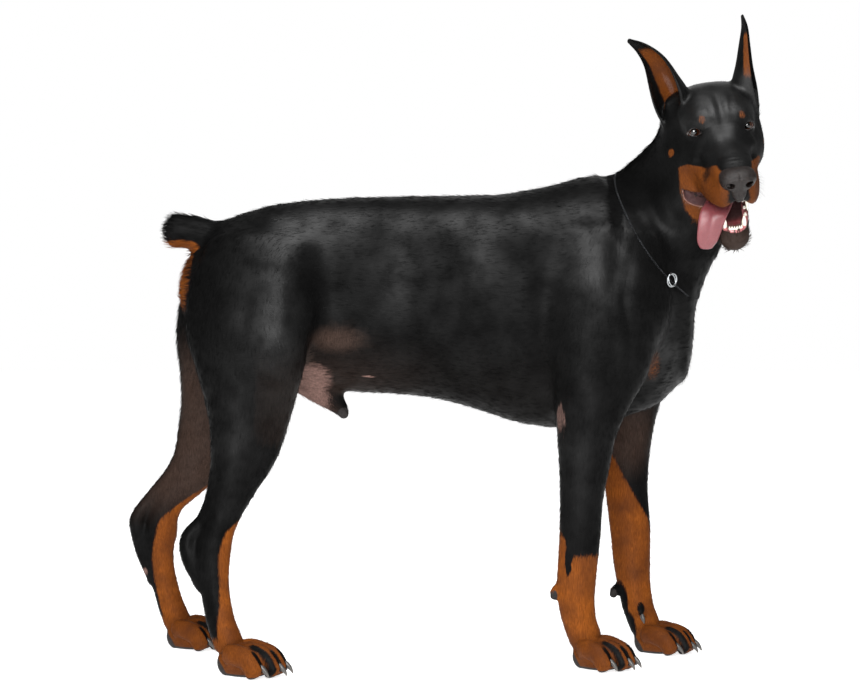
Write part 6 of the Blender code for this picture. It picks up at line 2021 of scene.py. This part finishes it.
def make_chain(field, painted_shade_steel, bright):
    """A curb chain: oval links of wire, each turned against the next, all round the neck.

    Two thin rings join its ends in front. The links are darker than the rings as painted shade, for the hair
    that covers them.
    """
    path = chain_path(field)
    line = through(np.vstack([path, path[:1]]), 12)
    far = np.concatenate([[0], np.cumsum(np.linalg.norm(np.diff(line, axis=0), axis=1))])
    links = int(far[-1] / LINK_PITCH)
    at = np.linspace(0, far[-1], links, endpoint=False)
    centre = np.stack([np.interp(at, far, c) for c in line.T], 1)
    along = unit(np.roll(centre, -1, 0) - np.roll(centre, 1, 0))
    side = unit(np.cross(along, unit(CHAIN_PLANE[1])))
    up = np.cross(along, side)
    lean = np.where(np.arange(links) % 2 == 0, 1, -1)[:, None] * LINK_LEAN
    across = np.cos(lean) * side + np.sin(lean) * up
    face = np.cross(along, across)
    a = np.linspace(0, ROUND, LINK_STEPS, endpoint=False)[None, :, None, None]
    b = np.linspace(0, ROUND, WIRE_SIDES, endpoint=False)[None, None, :, None]
    x, y, z = (v[:, None, None] for v in (along, across, face))
    spoke = np.cos(a) * LINK_HALF[0] * x + np.sin(a) * LINK_HALF[1] * y
    wire = LINK_WIRE * (np.cos(b) * unit(spoke) + np.sin(b) * z)
    points = centre[:, None, None] + spoke + wire
    one = ring_faces(LINK_STEPS, WIRE_SIDES, closed=True)
    first = LINK_STEPS * WIRE_SIDES * np.arange(links)
    faces = (one[None] + first[:, None, None]).reshape(-1, 3)
    mesh = mesh_of("chain_links", points.reshape(-1, 3), faces)
    merge(mesh)
    dress(add("chain_links", mesh), painted_shade_steel, "steel", "collar_chain")

    middle = path[np.argmin(np.linalg.norm(path - RING_AT, axis=1))]
    out = outward(field, middle)
    radius, wire = CHAIN_RING
    middle = middle + out * (CHAIN_RADIUS + wire)
    for k, tilt in enumerate((-0.20, 0.24)):
        normal = unit(out + tilt * np.array([0.6, 0, 0.8]))
        e1 = unit(np.cross(normal, (0, 1, 0)))
        e2 = np.cross(normal, e1)
        a = np.linspace(0, ROUND, 48, endpoint=False)
        ring = middle + (radius - 0.0006 * k) * (np.outer(np.cos(a), e1) + np.outer(np.sin(a), e2))
        mesh = tube(f"chain_ring_{k + 1}", ring, wire * 0.78, normal, 12, closed=True)
        merge(mesh)
        piece = add(mesh.name, mesh)
        dress(piece, bright, "steel", *(["collar_ring"] if k == 0 else []))


def make_whiskers(coat):
    """Stiff black whiskers in four rows on each flew, each a tapering curve 10 to 19 mm long.

    A whisker runs outward and back from its root and sags with the square of the way along it.
    """
    rng = np.random.default_rng(7)
    steps, around = 7, 5
    parts, faces, roots, start = [], [], [], 0
    for s in (-1, 1):
        for row in range(4):
            for k in range(5):
                out, down = s * (0.0400 - 0.0022 * k), -0.050 - 0.0075 * row + 0.001 * k
                root = np.array([0.052 + 0.010 * k, out, down])
                way = np.array([-0.35 + 0.10 * k, s * 0.9, -0.35 - 0.12 * row])
                way = unit(way + rng.normal(0, 0.08, 3))
                size = rng.uniform(0.010, 0.019)
                t = np.linspace(0, 1, steps)[:, None]
                sag = np.array([-0.25, 0, -0.55]) * size * 0.5 * t**2
                line = root - way * 0.004 + way * size * t + sag
                radius = 0.00016 * (1 - 0.85 * t[:, 0])
                mesh = tube("whisker", on_head(line), radius, (0.3, 0.2, 1), around)
                parts.append(coordinates(mesh))
                faces.append(ring_faces(steps, around) + start)
                roots.append(((s + 1) / 2 + 0.1 * k, 0.2 * row))
                start += len(parts[-1])
                bpy.data.meshes.remove(mesh)
    mesh = mesh_of("whiskers", np.vstack(parts), np.vstack(faces))
    for name in ("rust", "thin_hair", "bare", "lining", "leather", "gloss", "deep", "limb"):
        give(mesh, name, np.zeros(start))
    corner = (CHARTS_ACROSS - 1) / CHARTS_ACROSS  # the grid's last cell, which no form has
    root = corner + 0.05 * np.repeat(roots, steps * around, axis=0)
    within = np.stack(np.meshgrid(np.linspace(0, 1, steps), np.linspace(0, 1, around), indexing="ij"), -1)
    uv = root + PATCH * np.tile(within.reshape(-1, 2), (len(roots), 1))
    layer = mesh.uv_layers.new(name="OFBake")
    layer.data.foreach_set("uv", uv[np.vstack(faces).ravel()].ravel().astype(np.float32))
    dress(add("whiskers", mesh), coat, "coat")


def make_floor():
    """A wide plane under the dog and a white surround."""
    corners = [(-9, -9, 0), (9, -9, 0), (9, 9, 0), (-9, 9, 0)]
    mesh = mesh_of("floor", corners, [(0, 1, 2), (0, 2, 3)])
    floor = add("floor", mesh)
    mesh.materials.append(studio_floor())
    world = bpy.data.worlds.new("studio")
    bpy.context.scene.world = world
    world.use_nodes = True
    tree = world.node_tree
    background = tree.nodes["Background"]
    background.inputs["Color"].default_value = srgb("#ffffff")
    seen = node(tree, "LightPath", out="Is Camera Ray")
    strength = node(tree, "Mix", {0: seen, 2: SURROUND, 3: 1.0}, data_type="FLOAT")
    tree.links.new(strength, background.inputs["Strength"])


def make_light(name, at, size, energy):
    """A round soft box that looks at the dog's middle."""
    lamp = bpy.data.lights.new(name, "AREA")
    lamp.shape, lamp.size, lamp.energy = "DISK", size, energy
    obj = bpy.data.objects.new(name, lamp)
    bpy.context.scene.collection.objects.link(obj)
    place = Vector(at)
    obj.location = place
    obj.visible_camera = False
    obj.rotation_euler = (Vector((0, 0, 0.45)) - place).to_track_quat("-Z", "Y").to_euler()


def make_camera():
    """The photo's view, from 4 m to the dog's right, a little above its middle."""
    place, aim = Vector(CAMERA_AT), Vector(CAMERA_AIM)
    data = bpy.data.cameras.new("camera")
    camera = bpy.data.objects.new("camera", data)
    bpy.context.scene.collection.objects.link(camera)
    camera.location = place + Vector(SHIFT)
    camera.rotation_euler = (aim - place).to_track_quat("-Z", "Y").to_euler()
    data.sensor_width = SENSOR
    data.lens = SENSOR * PIXELS_PER_METRE * (aim - place).length / FRAME_PIXELS
    bpy.context.scene.camera = camera


def main():
    """The photo's view and light, then the dog: skin and coat first, then the finer pieces."""
    make_camera()
    make_floor()
    make_light("key", at=(-0.5, -4.4, 1.7), size=2.2, energy=250)
    make_light("top", at=(0.1, -1.4, 3.3), size=2.2, energy=110)
    make_light("back", at=(0.5, 3.4, 2.6), size=2.0, energy=12)
    bpy.context.scene.view_settings.view_transform = "Standard"

    coat = short_coat()
    forms = coat_forms()
    field = skin_field(forms)
    skin = make_skin(forms, field)
    mark_mesh(skin.data)
    make_tufts(skin, forms, coat)
    dress(skin, coat, "coat", *FLESH)

    make_eyes()
    make_nose()
    make_tongue()
    make_teeth()
    make_claws()
    # The links' dark tint is painted shade of the coat over them; the rings keep chrome's own colour.
    make_chain(field, steel("steel_in_painted_shade", "#3c3d3f"), steel("chromed_steel", "#a9acae"))
    make_whiskers(coat)
    write_sizes()


def write_sizes():
    """Brings the view layer up to date; no boxes are measured or written."""
    bpy.context.view_layer.update()


main()
